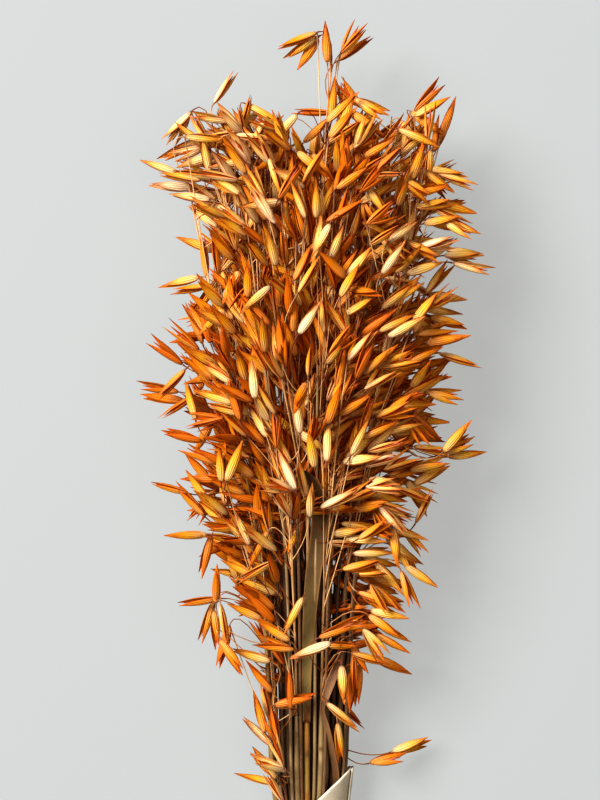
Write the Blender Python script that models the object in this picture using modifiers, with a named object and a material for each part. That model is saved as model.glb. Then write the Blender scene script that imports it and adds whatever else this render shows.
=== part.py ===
"""A bundle of dried, dyed oats lying on its side.

Stems of oats are gathered at a waist, where a paper wrap and three turns of twine hold them, and fan
out to a head of spikelets. Metres, +Z up. The heads point to +Y, and the surface is z = 0. The origin
is the spot where the wrap's flat underside rests. An empty at the waist carries every piece, so the
heights below count from the waist.
"""

import math

import bmesh
import bpy
import numpy as np

SEED = 4
STEMS = 26
SPIKELETS = 280
WAIST_Y = 0.045

# Room between the pieces of two stems, room between two spikelets' middles, and the longest branch.
CLEAR = 0.0006
MIDDLES_APART = 0.0115
LONGEST_BRANCH = 0.055

# The stems stand in a close lattice at the waist.
PITCH = 0.0048
CULM_FOOT_RADIUS = 0.0021
CULM_NECK_RADIUS = 0.0014
FOOT_Y = -0.100
JOINT_GAP = 0.0003

# Heights along the bundle, and how far the lattice has spread there, across and in depth.
SPREAD_Y = (-0.110, -0.008, 0.008, 0.060, 0.120, 0.200, 0.280, 0.360, 0.440, 0.530)
SPREAD_X = (1.35, 1.00, 1.00, 1.45, 1.62, 1.95, 2.90, 4.10, 4.80, 5.10)
SPREAD_Z = (1.15, 1.00, 1.00, 1.40, 1.75, 2.40, 3.20, 3.90, 4.20, 4.20)
CENTRE_Z = (0.0150, 0.0158, 0.0158, 0.0185, 0.0270, 0.0400, 0.0510, 0.0560, 0.0560, 0.0540)

# The outline of the head: its reach to the left, to the right, and in depth.
HEAD_Y = (0.095, 0.118, 0.142, 0.178, 0.226, 0.274, 0.322, 0.370, 0.418, 0.450, 0.466)
HEAD_LEFT = (0.014, 0.020, 0.027, 0.048, 0.064, 0.071, 0.075, 0.060, 0.069, 0.072, 0.060)
HEAD_RIGHT = (0.014, 0.022, 0.042, 0.058, 0.069, 0.074, 0.082, 0.085, 0.085, 0.080, 0.068)
HEAD_DEPTH = (0.022, 0.026, 0.034, 0.042, 0.050, 0.057, 0.060, 0.060, 0.054, 0.044, 0.034)
HEAD_AREA = 0.0106

# The head's top edge dips between its two sides.
TOP_X = (-0.086, -0.071, -0.030, -0.014, 0.000, 0.011, 0.028, 0.052, 0.079, 0.088)
TOP_Y = (0.440, 0.458, 0.461, 0.450, 0.433, 0.465, 0.466, 0.451, 0.465, 0.450)

# How far spikelets lean out at the left and right edges of the head, and rise at its front, in degrees.
LEAN_LEFT = (40, 45, 60, 62, 56, 62, 52, 36, 62, 58, 40)
LEAN_RIGHT = (120, 122, 126, 128, 116, 88, 72, 66, 70, 58, 40)
LEAN_CURVE = 0.6
RISE_MOST = 26

# The bundle's front stays open low down, where its culms and the blade show.
FRONT_TOP = 0.205
FRONT_HALF = 0.019

# Tips of the rachises: tall in the middle layers, short in the outer ones, and low at the two edges.
TALL_TIP, MIDDLE_TIP, SHORT_TIP = 0.454, 0.390, 0.300
LEFT_TIP, RIGHT_TIP = 0.190, 0.224
LEADER_TIP = 0.489
LEADER_LEAN = 0.0115
PANICLE_LENGTH = 0.185
RACHIS_RADIUS = 0.0011
PEDICEL_RADIUS = 0.00055

SPIKELET_LENGTH = 0.0245
GLUME_RADIUS = 0.0028
TIP_RADIUS = 0.00025
OPEN_SHARE = 0.30

PAPER_THICK = 0.0008
PAPER_TOP_Y = 0.042
PAPER_TOP_RISE = 0.024
PAPER_Y = (-0.062, -0.036, -0.017, -0.008, 0.008, 0.022, 0.066)
PAPER_HALF_WIDTH = (0.0235, 0.0225, 0.0210, 0.0194, 0.0194, 0.0215, 0.0265)
PAPER_HALF_DEPTH = (0.0165, 0.0160, 0.0152, 0.0129, 0.0129, 0.0158, 0.0200)
PAPER_LAP = 0.0014

TWINE_RADIUS = 0.0010
TWINE_TURNS = 3
TWINE_PITCH = 0.0024
TWINE_CLEAR = 0.0004
KNOT_RADIUS = 0.0016
KNOT = (
    (0.0012, -0.0050, 0.0002),
    (-0.0014, -0.0018, 0.0014),
    (0.0014, 0.0018, 0.0014),
    (-0.0012, 0.0050, 0.0002),
)
LOOSE_END = (
    (0, 0, 0.0010),
    (0.005, 0.002, 0.0018),
    (0.011, 0.005, 0.0014),
    (0.016, 0.009, -0.0008),
)

ORANGE = (0.63, 0.24, 0.035)
STRAW = (0.42, 0.31, 0.13)
DRY_LEAF = (0.27, 0.15, 0.06)
PAPER = (0.62, 0.55, 0.43)
TWINE = (0.40, 0.28, 0.15)


def clear_scene():
    for obj in list(bpy.data.objects):
        bpy.data.objects.remove(obj)


def collection(name):
    made = bpy.data.collections.new(name)
    bpy.context.scene.collection.children.link(made)
    return made


def material(name, colour, roughness):
    made = bpy.data.materials.new(name)
    made.use_nodes = True
    shader = made.node_tree.nodes["Principled BSDF"]
    shader.inputs["Base Color"].default_value = (*colour, 1)
    shader.inputs["Roughness"].default_value = roughness
    return made


def eased(y, heights, values):
    """A smooth curve through (heights, values): cubic between them, with each slope from its neighbours."""
    heights, values = np.array(heights), np.array(values)
    slopes = np.gradient(values, heights)
    y = np.clip(y, heights[0], heights[-1])
    i = np.clip(np.searchsorted(heights, y) - 1, 0, len(heights) - 2)
    step = heights[i + 1] - heights[i]
    t = (y - heights[i]) / step
    rise = values[i + 1] - values[i]
    a = slopes[i] * step - rise
    b = rise - slopes[i + 1] * step
    return values[i] + t * rise + t * (1 - t) * ((1 - t) * a + t * b)


def unit(vector):
    return vector / np.linalg.norm(vector)


def lattice():
    """The stems' places at the waist: the innermost points of a triangular lattice, seen as an ellipse."""
    row = PITCH * math.sqrt(3) / 2
    points = [((i + (j % 2) / 2) * PITCH, j * row) for j in range(-3, 4) for i in range(-5, 6)]
    points.sort(key=lambda p: (round((p[0] / 1.5) ** 2 + p[1] ** 2, 9), p[0], p[1]))
    return points[:STEMS]


class Stem:
    """One oat stem: a culm up to its neck, and above it the rachis of its panicle."""

    def __init__(self, number, u, v):
        draw = np.random.default_rng([SEED, 1, number])
        self.u, self.v = u, v
        self.foot = FOOT_Y + draw.uniform(-0.006, 0.006)
        self.phase = draw.uniform(0, 2 * math.pi)
        depth = abs(v) / (PITCH * math.sqrt(3))
        layer = TALL_TIP if depth < 0.2 else MIDDLE_TIP if depth < 0.7 else SHORT_TIP
        self.tip = layer + draw.uniform(-0.040, 0.018)
        self.lean = 0
        if number == 0:
            self.tip, self.lean = LEADER_TIP, LEADER_LEAN
        if abs(u) > 2.4 * PITCH and (v < 0 or u < 0 < v):
            self.tip = (LEFT_TIP if u < 0 else RIGHT_TIP) + draw.uniform(0, 0.05)
        self.neck = self.tip - PANICLE_LENGTH * draw.uniform(0.9, 1.05)
        self.nod = draw.uniform(0.004, 0.012)

    def at(self, y):
        """The axis at height y: the lattice place spread out, a slow sway, and a nod above the neck."""
        y = np.asarray(y, float)
        across, deep = eased(y, SPREAD_Y, SPREAD_X), eased(y, SPREAD_Y, SPREAD_Z)
        sway = 0.26 * PITCH * np.clip(across - 1, 0, 3)
        turn = self.phase + 9 * y
        above = np.clip((y - self.neck) / (self.tip - self.neck), 0, 1) ** 2
        reach = math.hypot(self.u, self.v) + 1e-9
        x = self.u * across + sway * np.cos(turn) + (self.nod * self.u / reach + self.lean) * above
        z = eased(y, SPREAD_Y, CENTRE_Z) + self.v * deep + sway * np.sin(turn)
        return np.stack([x, y, z + self.nod * above * self.v / reach], -1)


def nearest_gap(p, q, starts, ends):
    """The distance from the segment p-q to each of the segments starts-ends."""
    d1, d2, r = q - p, ends - starts, p - starts
    a, e = d1 @ d1, (d2 * d2).sum(1)
    b, c, f = d2 @ d1, r @ d1, (d2 * r).sum(1)
    apart = a * e - b * b
    s = np.clip((b * f - c * e) / np.where(apart > 1e-18, apart, 1), 0, 1)
    t = np.clip((b * s + f) / e, 0, 1)
    s = np.clip((b * t - c) / a, 0, 1)
    return np.linalg.norm(r + s[:, None] * d1 - t[:, None] * d2, axis=1)


class Filled:
    """What already takes up room: tapered rods as capsules, each with its owner."""

    def __init__(self):
        self.rods = np.zeros((6000, 8))
        self.count = 0

    def add(self, owner, points, radii):
        for p, q, r, s in zip(points, points[1:], radii, radii[1:]):
            self.rods[self.count] = (*p, *q, max(r, s), owner)
            self.count += 1

    def free(self, owner, points, radii, clear):
        """Whether the rods clear all that stands. The first may touch its own stem, where it is rooted."""
        rods = self.rods[: self.count]
        for i, (p, q, r, s) in enumerate(zip(points, points[1:], radii, radii[1:])):
            others = rods[rods[:, 7] != owner] if i == 0 else rods
            gaps = nearest_gap(p, q, others[:, :3], others[:, 3:6]) - others[:, 6] - max(r, s)
            if gaps.min() < clear:
                return False
        return True


def outline(y):
    return tuple(eased(y, HEAD_Y, side) for side in (HEAD_LEFT, HEAD_RIGHT, HEAD_DEPTH))


def pointing(lean, rise):
    """The direction that leans from +Y towards +X, and then rises towards +Z, in degrees."""
    lean, rise = math.radians(lean), math.radians(rise)
    return np.array(
        [math.sin(lean) * math.cos(rise), math.cos(lean) * math.cos(rise), math.sin(rise)]
    )


def lean_at(middle):
    """The lean and rise of the spikelets round a point: none inside the head, and outwards at its edges."""
    left, right, deep = outline(middle[1])
    reach, most = (right, LEAN_RIGHT) if middle[0] > 0 else (left, LEAN_LEFT)
    side = math.copysign(abs(middle[0] / reach) ** LEAN_CURVE, middle[0])
    out = (middle[2] - eased(middle[1], SPREAD_Y, CENTRE_Z)) / deep
    return np.interp(middle[1], HEAD_Y, most) * side, RISE_MOST * out


def axis_of(middle, draw):
    """Which way a spikelet points: near enough as those round it do."""
    lean, rise = lean_at(middle)
    return pointing(lean + draw.normal(0, 18), rise + draw.normal(0, 12))


def lifted(points, radii):
    """The points, each raised until its rod clears the surface."""
    low = np.asarray(radii) + 0.0001
    points = points.copy()
    points[:, 2] = np.maximum(points[:, 2], low)
    return points


def pedicel_root(stems, base, draw):
    """The stem whose rachis is nearest to a spikelet's base, and the point on it where its branch starts."""
    drop = draw.uniform(0.008, 0.028)
    best = None
    for number, stem in enumerate(stems):
        root = stem.at(np.clip(base[1] - drop, stem.neck + 0.004, stem.tip - 0.001))
        reach = np.linalg.norm(base - root)
        if best is None or reach < best[0]:
            best = (reach, number, root)
    return best


def spikelet(stems, middle, axis, draw):
    """The rods of one spikelet: its branch with one glume, and the other glume where it stands open."""
    length = SPIKELET_LENGTH * draw.uniform(0.92, 1.08)
    base = middle - axis * length / 2
    reach, owner, root = pedicel_root(stems, base, draw)
    bend = 0.25 * root + 0.5 * (base - axis * 0.45 * reach) + 0.25 * base
    first = np.array([root, bend, base, base + axis * 0.38 * length, base + axis * length])
    radii = [PEDICEL_RADIUS, PEDICEL_RADIUS, 0.0008, GLUME_RADIUS, TIP_RADIUS]
    first = lifted(first, radii)
    rods = [(first, radii)]
    if draw.random() < OPEN_SHARE:
        side = unit(np.cross(axis, unit(draw.normal(size=3))))
        angle = math.radians(draw.uniform(18, 26))
        turned = axis * math.cos(angle) + side * math.sin(angle)
        start = first[2] + unit(first[3] - first[2]) * 0.0016
        second = np.array([start + turned * t * length for t in (0, 0.36, 0.86)])
        radii = [0.0004, 0.8 * GLUME_RADIUS, TIP_RADIUS]
        rods.append((lifted(second, radii), radii))
    return reach, owner, rods


# How far a single spikelet moves, mostly in depth, each time that it finds its place taken.
SHIFT = np.array([0.0003, 0.0003, 0.0010])

# Spikelets that stand out of the mass: middle x, y, z, then lean and rise of the tip in degrees.
STANDOUTS = (
    (-0.006, 0.508, 0.060, -113, 8),
    (0.000, 0.501, 0.052, -147, 4),
    (0.011, 0.506, 0.063, -3, 5),
    (0.027, 0.508, 0.058, 45, 6),
    (0.029, 0.504, 0.050, 56, 4),
    (-0.050, 0.479, 0.062, 36, 12),
    (-0.078, 0.456, 0.060, -139, 6),
    (-0.075, 0.445, 0.052, -119, 6),
    (-0.037, 0.463, 0.062, 14, 8),
    (-0.061, 0.438, 0.074, -13, 8),
    (-0.014, 0.453, 0.078, -138, 6),
    (-0.032, 0.445, 0.082, 100, 6),
    (-0.089, 0.432, 0.058, -72, 6),
    (-0.083, 0.420, 0.056, -86, 6),
    (-0.070, 0.413, 0.068, -84, 6),
    (0.018, 0.468, 0.066, 47, 6),
    (0.038, 0.468, 0.062, 113, 6),
    (0.033, 0.459, 0.070, 126, 6),
    (0.005, 0.467, 0.058, -88, 4),
    (0.021, 0.474, 0.056, -8, 4),
    (0.072, 0.474, 0.060, 42, 8),
    (0.074, 0.467, 0.066, 63, 6),
    (0.080, 0.454, 0.056, 27, 6),
    (0.072, 0.457, 0.074, 6, 8),
    (0.082, 0.428, 0.070, 100, 4),
    (0.077, 0.422, 0.078, 126, 4),
    (0.088, 0.407, 0.064, 104, 4),
    (0.085, 0.401, 0.072, 117, 4),
    (0.093, 0.379, 0.062, 88, 4),
    (0.099, 0.373, 0.054, 103, 4),
    (0.076, 0.385, 0.080, 76, 6),
    (0.080, 0.351, 0.066, 59, 6),
    (0.084, 0.339, 0.058, 106, 4),
    (0.083, 0.328, 0.070, 80, 4),
    (0.091, 0.316, 0.060, 108, 4),
    (0.081, 0.296, 0.064, 95, 4),
    (0.089, 0.270, 0.062, 41, 6),
    (0.089, 0.265, 0.054, 60, 4),
    (0.096, 0.259, 0.048, 83, 4),
    (-0.077, 0.363, 0.062, -104, 6),
    (-0.085, 0.321, 0.064, -52, 6),
    (-0.081, 0.302, 0.068, -137, 6),
    (-0.090, 0.299, 0.056, -80, 6),
    (-0.078, 0.288, 0.062, -124, 4),
    (-0.075, 0.270, 0.066, -77, 6),
    (-0.083, 0.239, 0.058, -74, 6),
    (-0.066, 0.240, 0.064, -34, 6),
    (-0.073, 0.211, 0.060, -90, 4),
    (-0.062, 0.198, 0.056, -165, 4),
    (-0.055, 0.181, 0.056, 2, 6),
    (-0.068, 0.169, 0.052, -97, 4),
    (-0.061, 0.160, 0.048, -162, 4),
    (-0.052, 0.158, 0.054, 170, 4),
    (-0.051, 0.143, 0.046, -164, 6),
    (-0.047, 0.137, 0.052, 150, 4),
    (0.070, 0.228, 0.058, 28, 6),
    (0.068, 0.186, 0.052, 123, 6),
    (0.060, 0.178, 0.058, 160, 4),
    (0.052, 0.204, 0.070, 172, 6),
    (0.046, 0.156, 0.060, 124, 6),
    (0.038, 0.145, 0.062, 153, 6),
    (0.054, 0.129, 0.046, 114, 4),
    (0.026, 0.098, 0.011, 135, 2),
    (0.028, 0.118, 0.045, -175, 4),
    (0.015, 0.156, 0.068, 66, 8),
    (0.002, 0.144, 0.066, -110, 4),
    (-0.020, 0.144, 0.066, -84, 4),
    (-0.021, 0.153, 0.057, -57, 6),
    (-0.009, 0.164, 0.070, -150, 4),
    (-0.033, 0.137, 0.052, -72, 4),
    (-0.028, 0.125, 0.052, -39, 8),
    (-0.026, 0.111, 0.050, -9, 10),
    (-0.030, 0.090, 0.042, -46, 6),
    (-0.020, 0.096, 0.048, -6, 10),
    (-0.022, 0.077, 0.044, -62, 8),
    (-0.026, 0.070, 0.034, -36, 6),
    (-0.019, 0.060, 0.050, -30, 10),
    (-0.031, 0.062, 0.038, -75, 4),
    (-0.019, 0.084, 0.054, -20, 8),
    (0.049, 0.072, 0.023, 72, 2),
    (0.064, 0.077, 0.033, 70, 2),
)


def middle_of(draw):
    """A random place in the head: even along its outline's area, and more often near its outside."""
    y = draw.uniform(HEAD_Y[0], HEAD_Y[-1])
    left, right, deep = outline(y)
    if draw.random() > (left + right) * deep / HEAD_AREA:
        return None
    angle = draw.uniform(0, 2 * math.pi)
    out = math.sqrt(draw.uniform(0.12, 1))
    x = out * math.cos(angle) * (right if math.cos(angle) > 0 else left)
    if y > np.interp(x, TOP_X, TOP_Y):
        return None
    if y < FRONT_TOP and abs(x) < FRONT_HALF and math.sin(angle) > 0:
        return None
    z = eased(y, SPREAD_Y, CENTRE_Z) + out * math.sin(angle) * deep
    return np.array([x, y, z])


def grow(stems, filled, count):
    """Places the spikelets one by one, each where it clears what stands there. Returns (stem, rods) pairs."""
    placed, middles = [], []

    def take(owner, rods, middle):
        placed.append((owner, rods))
        middles.append(middle)
        for points, radii in rods:
            filled.add(owner, points, radii)

    for number, (x, y, z, lean, rise) in enumerate(STANDOUTS):
        for attempt in range(40):
            draw = np.random.default_rng([SEED, 2, number, attempt])
            middle = np.array([x, y, z]) + attempt * SHIFT * draw.normal(size=3)
            _, owner, rods = spikelet(stems, middle, pointing(lean, rise), draw)
            if all(filled.free(owner, points, radii, CLEAR) for points, radii in rods):
                take(owner, rods, middle)
                break
    number = 0
    while len(placed) < count:
        number += 1
        draw = np.random.default_rng([SEED, 3, number])
        middle = middle_of(draw)
        if middle is None:
            continue
        apart = np.linalg.norm(np.array(middles) - middle, axis=1).min()
        if apart < MIDDLES_APART:
            continue
        reach, owner, rods = spikelet(stems, middle, axis_of(middle, draw), draw)
        if reach > LONGEST_BRANCH:
            continue
        if all(filled.free(owner, points, radii, CLEAR) for points, radii in rods):
            take(owner, rods, middle)
    return placed


def section(name, sides):
    """A guide for the bevel of a tube: a polygon of radius 1."""
    curve = bpy.data.curves.new(name, "CURVE")
    curve.dimensions = "2D"
    spline = curve.splines.new("POLY")
    spline.points.add(sides - 1)
    spline.use_cyclic_u = True
    for i, point in enumerate(spline.points):
        angle = 2 * math.pi * i / sides
        point.co = (math.cos(angle), math.sin(angle), 0, 1)
    guide = bpy.data.objects.new(name, curve)
    guide.hide_render = True
    bpy.context.scene.collection.objects.link(guide)
    return guide


def tube(name, points, radii, guide, into):
    """A closed tapered tube along the points, as a mesh object."""
    curve = bpy.data.curves.new(name, "CURVE")
    curve.dimensions = "3D"
    curve.twist_mode = "MINIMUM"
    curve.bevel_mode = "OBJECT"
    curve.bevel_object = guide
    curve.use_fill_caps = True
    spline = curve.splines.new("POLY")
    spline.points.add(len(points) - 1)
    for point, place, radius in zip(spline.points, points, radii):
        point.co = (*place, 1)
        point.radius = radius
    rod = bpy.data.objects.new(name, curve)
    into.objects.link(rod)
    graph = bpy.context.evaluated_depsgraph_get()
    mesh = bpy.data.meshes.new_from_object(rod.evaluated_get(graph))
    bpy.data.objects.remove(rod)
    close(mesh)
    made = bpy.data.objects.new(name, mesh)
    into.objects.link(made)
    return made


def close(mesh):
    """Welds a mesh's loose caps and turns its faces out."""
    shape = bmesh.new()
    shape.from_mesh(mesh)
    bmesh.ops.remove_doubles(shape, verts=shape.verts, dist=0.000002)
    bmesh.ops.recalc_face_normals(shape, faces=shape.faces)
    shape.to_mesh(mesh)
    shape.free()


def fuse(body, others, solver):
    """Joins the objects of a collection to the body, and removes them."""
    join = body.modifiers.new("join", "BOOLEAN")
    join.operation = "UNION"
    join.operand_type = "COLLECTION"
    join.collection = others
    join.solver = solver
    graph = bpy.context.evaluated_depsgraph_get()
    mesh = bpy.data.meshes.new_from_object(body.evaluated_get(graph))
    body.modifiers.clear()
    body.data = mesh
    for other in list(others.objects):
        bpy.data.objects.remove(other)
    bpy.data.collections.remove(others)


def culm_rods(stem):
    """The culm's axis and radii, from its cut foot to its neck."""
    y = np.array([stem.foot, -0.008, 0.008, 0.060, 0.120, 0.200, 0.280, 0.340])
    y = np.append(y[y < stem.neck - 0.03], stem.neck - JOINT_GAP)
    return stem.at(y), np.interp(y, (0, 0.3), (CULM_FOOT_RADIUS, CULM_NECK_RADIUS))


def rachis_rods(stem):
    y = np.linspace(stem.neck, stem.tip, 6)
    return stem.at(y), np.linspace(RACHIS_RADIUS, PEDICEL_RADIUS, 6)


def make_culm(number, stem, guide, into, finish):
    culm = tube(f"culm_{number + 1:02d}", *culm_rods(stem), guide, into)
    culm.data.materials.append(finish)


def make_panicle(number, stem, placed, guide, into, finish):
    """One panicle: its rachis, with all its spikelets fused to it."""
    panicle = tube(f"panicle_{number + 1:02d}", *rachis_rods(stem), guide, into)
    sprays = collection("sprays")
    for owner, rods in placed:
        if owner == number:
            for points, radii in rods:
                tube("glume", points, radii, guide, sprays)
    fuse(panicle, sprays, "EXACT")
    panicle.data.materials.clear()
    panicle.data.materials.append(finish)


def paper_section(y):
    """The middle of the paper at y: its half width, half depth, centre's height and lowest height."""
    wide = np.interp(y, PAPER_Y, PAPER_HALF_WIDTH)
    deep = np.interp(y, PAPER_Y, PAPER_HALF_DEPTH)
    room = 2 * TWINE_RADIUS + TWINE_CLEAR
    floor = PAPER_THICK / 2 + room * np.interp(abs(y), (0.008, 0.017), (1, 0))
    sunk = 0.0016 * np.interp(abs(y), (0.008, 0.017), (0, 1))
    return wide, deep, floor + deep - sunk, floor


def make_paper_wrap(into, finish):
    """A sheet of paper rolled round the stems, lapped at the right, its top cut at a slant."""
    columns, rows, turn = 30, 6, math.radians(400)
    shape = bmesh.new()
    bmesh.ops.create_grid(shape, x_segments=columns, y_segments=rows, size=1)
    for vert in shape.verts:
        angle = (vert.co.x + 1) / 2 * turn - math.radians(25)
        top = PAPER_TOP_Y + PAPER_TOP_RISE * math.cos(angle)
        neck = PAPER_Y[4]
        y = (*PAPER_Y[:5], (neck + top) / 2, top)[round((vert.co.y + 1) / 2 * rows)]
        wide, deep, centre, floor = paper_section(y)
        lap = PAPER_LAP * float(np.clip((math.degrees(angle) - 285) / 50, 0, 1))
        x = (wide + lap) * math.cos(angle)
        z = max(centre + (deep + lap) * math.sin(angle), floor)
        vert.co = (x, y, z)
    mesh = bpy.data.meshes.new("paper_wrap")
    shape.to_mesh(mesh)
    shape.free()
    mesh.materials.append(finish)
    wrap = bpy.data.objects.new("paper_wrap", mesh)
    into.objects.link(wrap)
    thick = wrap.modifiers.new("thick", "SOLIDIFY")
    thick.thickness = PAPER_THICK
    thick.offset = 0
    thick.use_even_offset = True


def twine_route():
    """Three turns round the wrap's waist, from one side of the knot to the other."""
    wide, deep, centre, _ = paper_section(0)
    out = PAPER_THICK / 2 + TWINE_CLEAR + TWINE_RADIUS
    t = np.linspace(0, 1, 20 * TWINE_TURNS + 1)
    angle = math.pi / 2 + 2 * math.pi * TWINE_TURNS * t
    y = TWINE_PITCH * TWINE_TURNS * (t - 0.5)
    over = PAPER_LAP * np.interp(np.degrees(angle) % 360, (0, 18, 50, 285, 335, 360), (1, 1, 0, 0, 1, 1))
    x = (wide + out + over) * np.cos(angle)
    z = centre + (deep + out + over) * np.sin(angle)
    return np.stack([x, y, z], -1)


def make_tie(guide, into, finish):
    """The twine: its turns, the knot over them and two cut ends, in one piece."""
    route = twine_route()
    tie = tube("tie", route, [TWINE_RADIUS] * len(route), guide, into)
    extras = collection("knot")
    top = route[:, 2].max()
    knot = np.array(KNOT) + (0, 0, top)
    tube("knot", knot, [KNOT_RADIUS] * len(knot), guide, extras)
    for side in (-1, 1):
        end = np.array(LOOSE_END) * (side, 1, 1) + (0, 0, top)
        tube("end", end, [TWINE_RADIUS] * len(end), guide, extras)
    fuse(tie, extras, "EXACT")
    tie.data.materials.clear()
    tie.data.materials.append(finish)


# Leaf routes, each from its stem: across, y, height over the stem's axis, half width, and roll in degrees.
BLADE_STEM, FOLDED_STEM = 14, 22
BLADE = (
    (0.000, 0.096, 0.0036, 0.0022, 0),
    (0.000, 0.126, 0.0038, 0.0028, 4),
    (0.001, 0.156, 0.0044, 0.0040, 10),
    (0.003, 0.184, 0.0052, 0.0048, 14),
    (0.006, 0.208, 0.0062, 0.0050, 12),
    (0.007, 0.226, 0.0080, 0.0048, 2),
    (0.004, 0.240, 0.0110, 0.0040, -18),
    (-0.002, 0.249, 0.0136, 0.0026, -40),
    (-0.008, 0.251, 0.0144, 0.0010, -60),
)
FOLDED = (
    (0.0000, 0.046, 0.0034, 0.0018, 0),
    (-0.0004, 0.060, 0.0040, 0.0020, 10),
    (-0.0036, 0.076, 0.0076, 0.0022, 22),
    (-0.0076, 0.092, 0.0112, 0.0020, 30),
    (-0.0106, 0.104, 0.0126, 0.0013, 8),
    (-0.0090, 0.112, 0.0130, 0.0024, -14),
    (-0.0060, 0.122, 0.0124, 0.0031, -20),
    (-0.0026, 0.132, 0.0114, 0.0028, -24),
    (0.0006, 0.142, 0.0108, 0.0012, -30),
)
LEAF_THICK = 0.0008
CREASE = 0.28


def leaf_grid(stations, stem, across):
    """Points of a leaf: across its width at each station, creased along its midrib."""
    rows = []
    for x, y, over, half, roll in stations:
        roll = math.radians(roll)
        side = np.array([math.cos(roll), 0, math.sin(roll)])
        keel = np.array([math.sin(roll), 0, -math.cos(roll)])
        middle = stem.at(y) + (x, 0, over)
        rows.append([middle + half * (a * side + CREASE * (1 - abs(a)) * keel) for a in across])
    return np.array(rows)


def leaf_rods(stations, stem):
    rows = leaf_grid(stations, stem, (0,))[:, 0]
    return rows, [half + LEAF_THICK for *_, half, _ in stations]


def make_leaf(name, stations, stem, into, finish):
    """A dry leaf, as a creased blade of even thickness that leaves its stem at its foot."""
    rows = leaf_grid(stations, stem, (-1, 0, 1))
    shape = bmesh.new()
    bmesh.ops.create_grid(shape, x_segments=2, y_segments=len(stations) - 1, size=1)
    for vert in shape.verts:
        i = round((vert.co.y + 1) / 2 * (len(stations) - 1))
        vert.co = rows[i, round(vert.co.x + 1)]
    mesh = bpy.data.meshes.new(name)
    shape.to_mesh(mesh)
    shape.free()
    mesh.materials.append(finish)
    leaf = bpy.data.objects.new(name, mesh)
    into.objects.link(leaf)
    thick = leaf.modifiers.new("thick", "SOLIDIFY")
    thick.thickness = LEAF_THICK
    thick.offset = 0


def build():
    clear_scene()
    into = collection("dried_oats_bundle")
    stems = [Stem(number, u, v) for number, (u, v) in enumerate(lattice())]
    filled = Filled()
    for number, stem in enumerate(stems):
        filled.add(number, *rachis_rods(stem))
        filled.add(number + 100, *culm_rods(stem))
    filled.add(200, *leaf_rods(BLADE, stems[BLADE_STEM]))
    filled.add(201, *leaf_rods(FOLDED, stems[FOLDED_STEM]))
    placed = grow(stems, filled, SPIKELETS)
    triangle, pentagon = section("triangle", 3), section("pentagon", 5)
    straw = material("straw", STRAW, 0.6)
    orange = material("dyed_oat", ORANGE, 0.5)
    for number, stem in enumerate(stems):
        make_culm(number, stem, pentagon, into, straw)
        make_panicle(number, stem, placed, triangle, into, orange)
    dry = material("dry_leaf", DRY_LEAF, 0.7)
    make_leaf("leaf_blade", BLADE, stems[BLADE_STEM], into, dry)
    make_leaf("leaf_folded", FOLDED, stems[FOLDED_STEM], into, dry)
    make_paper_wrap(into, material("paper", PAPER, 0.8))
    make_tie(pentagon, into, material("twine", TWINE, 0.9))
    for guide in (triangle, pentagon):
        bpy.data.objects.remove(guide)
    waist = bpy.data.objects.new("waist", None)
    waist.location.y = WAIST_Y
    for piece in into.objects:
        piece.parent = waist
    into.objects.link(waist)


build()
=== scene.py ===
"""A bundle of dried, dyed oats on its side, dressed: husks, culms, leaves, paper and twine."""

import math

import bpy
import numpy as np
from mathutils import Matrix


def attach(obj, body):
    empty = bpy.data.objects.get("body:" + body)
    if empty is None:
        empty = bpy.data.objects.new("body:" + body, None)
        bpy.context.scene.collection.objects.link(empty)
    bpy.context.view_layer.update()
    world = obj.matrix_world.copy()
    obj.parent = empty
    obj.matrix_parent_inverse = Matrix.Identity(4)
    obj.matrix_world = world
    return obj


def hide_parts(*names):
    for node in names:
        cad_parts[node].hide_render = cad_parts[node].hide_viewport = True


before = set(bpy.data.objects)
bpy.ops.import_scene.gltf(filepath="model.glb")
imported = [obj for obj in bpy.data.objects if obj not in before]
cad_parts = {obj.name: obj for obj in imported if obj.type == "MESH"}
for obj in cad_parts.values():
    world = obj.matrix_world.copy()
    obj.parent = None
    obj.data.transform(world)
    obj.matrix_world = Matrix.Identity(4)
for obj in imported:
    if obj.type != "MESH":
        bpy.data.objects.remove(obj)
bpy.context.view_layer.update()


# The view. A lens looks straight down on the bundle from 1.5 m, framed as the photograph frames it:
# its lower edge crosses the wrap, and the bundle's middle stands a little right of the frame's.
WAIST_Y = 0.045
PIXEL = 0.0006
PICTURE_WIDTH, PICTURE_HEIGHT = 600, 800
STEMS_MIDDLE_PX = 308
FRAME_HEIGHT = PICTURE_HEIGHT * PIXEL
EDGE_Y = WAIST_Y + 0.052
EYE_HEIGHT = 1.5
HEAD_MIDDLE_Z = 0.060

camera = bpy.data.objects.new("camera", bpy.data.cameras.new("camera"))
camera.location = (
    (PICTURE_WIDTH / 2 - STEMS_MIDDLE_PX) * PIXEL,
    EDGE_Y + FRAME_HEIGHT / 2,
    EYE_HEIGHT,
)
camera.data.sensor_fit = "VERTICAL"
camera.data.angle = 2 * math.atan(FRAME_HEIGHT / 2 / (EYE_HEIGHT - HEAD_MIDDLE_Z))
bpy.context.scene.collection.objects.link(camera)
bpy.context.scene.camera = camera


# The room: daylight from a window on the left, a weak wide fill, and a plain pale matt floor. The floor
# glows a little, as a light table does, so that the bundle's shadow on it stays faint.
FLOOR_HALF = 4


def lamp(name, place, size, power, colour):
    """A square area light at place, turned to the middle of the bundle."""
    made = bpy.data.objects.new(name, bpy.data.lights.new(name, "AREA"))
    made.data.size = size
    made.data.energy = power
    made.data.color = colour
    made.location = place
    aim = camera.location.copy()
    aim.z = HEAD_MIDDLE_Z
    made.rotation_euler = (aim - made.location).to_track_quat("-Z", "Y").to_euler()
    bpy.context.scene.collection.objects.link(made)


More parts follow.
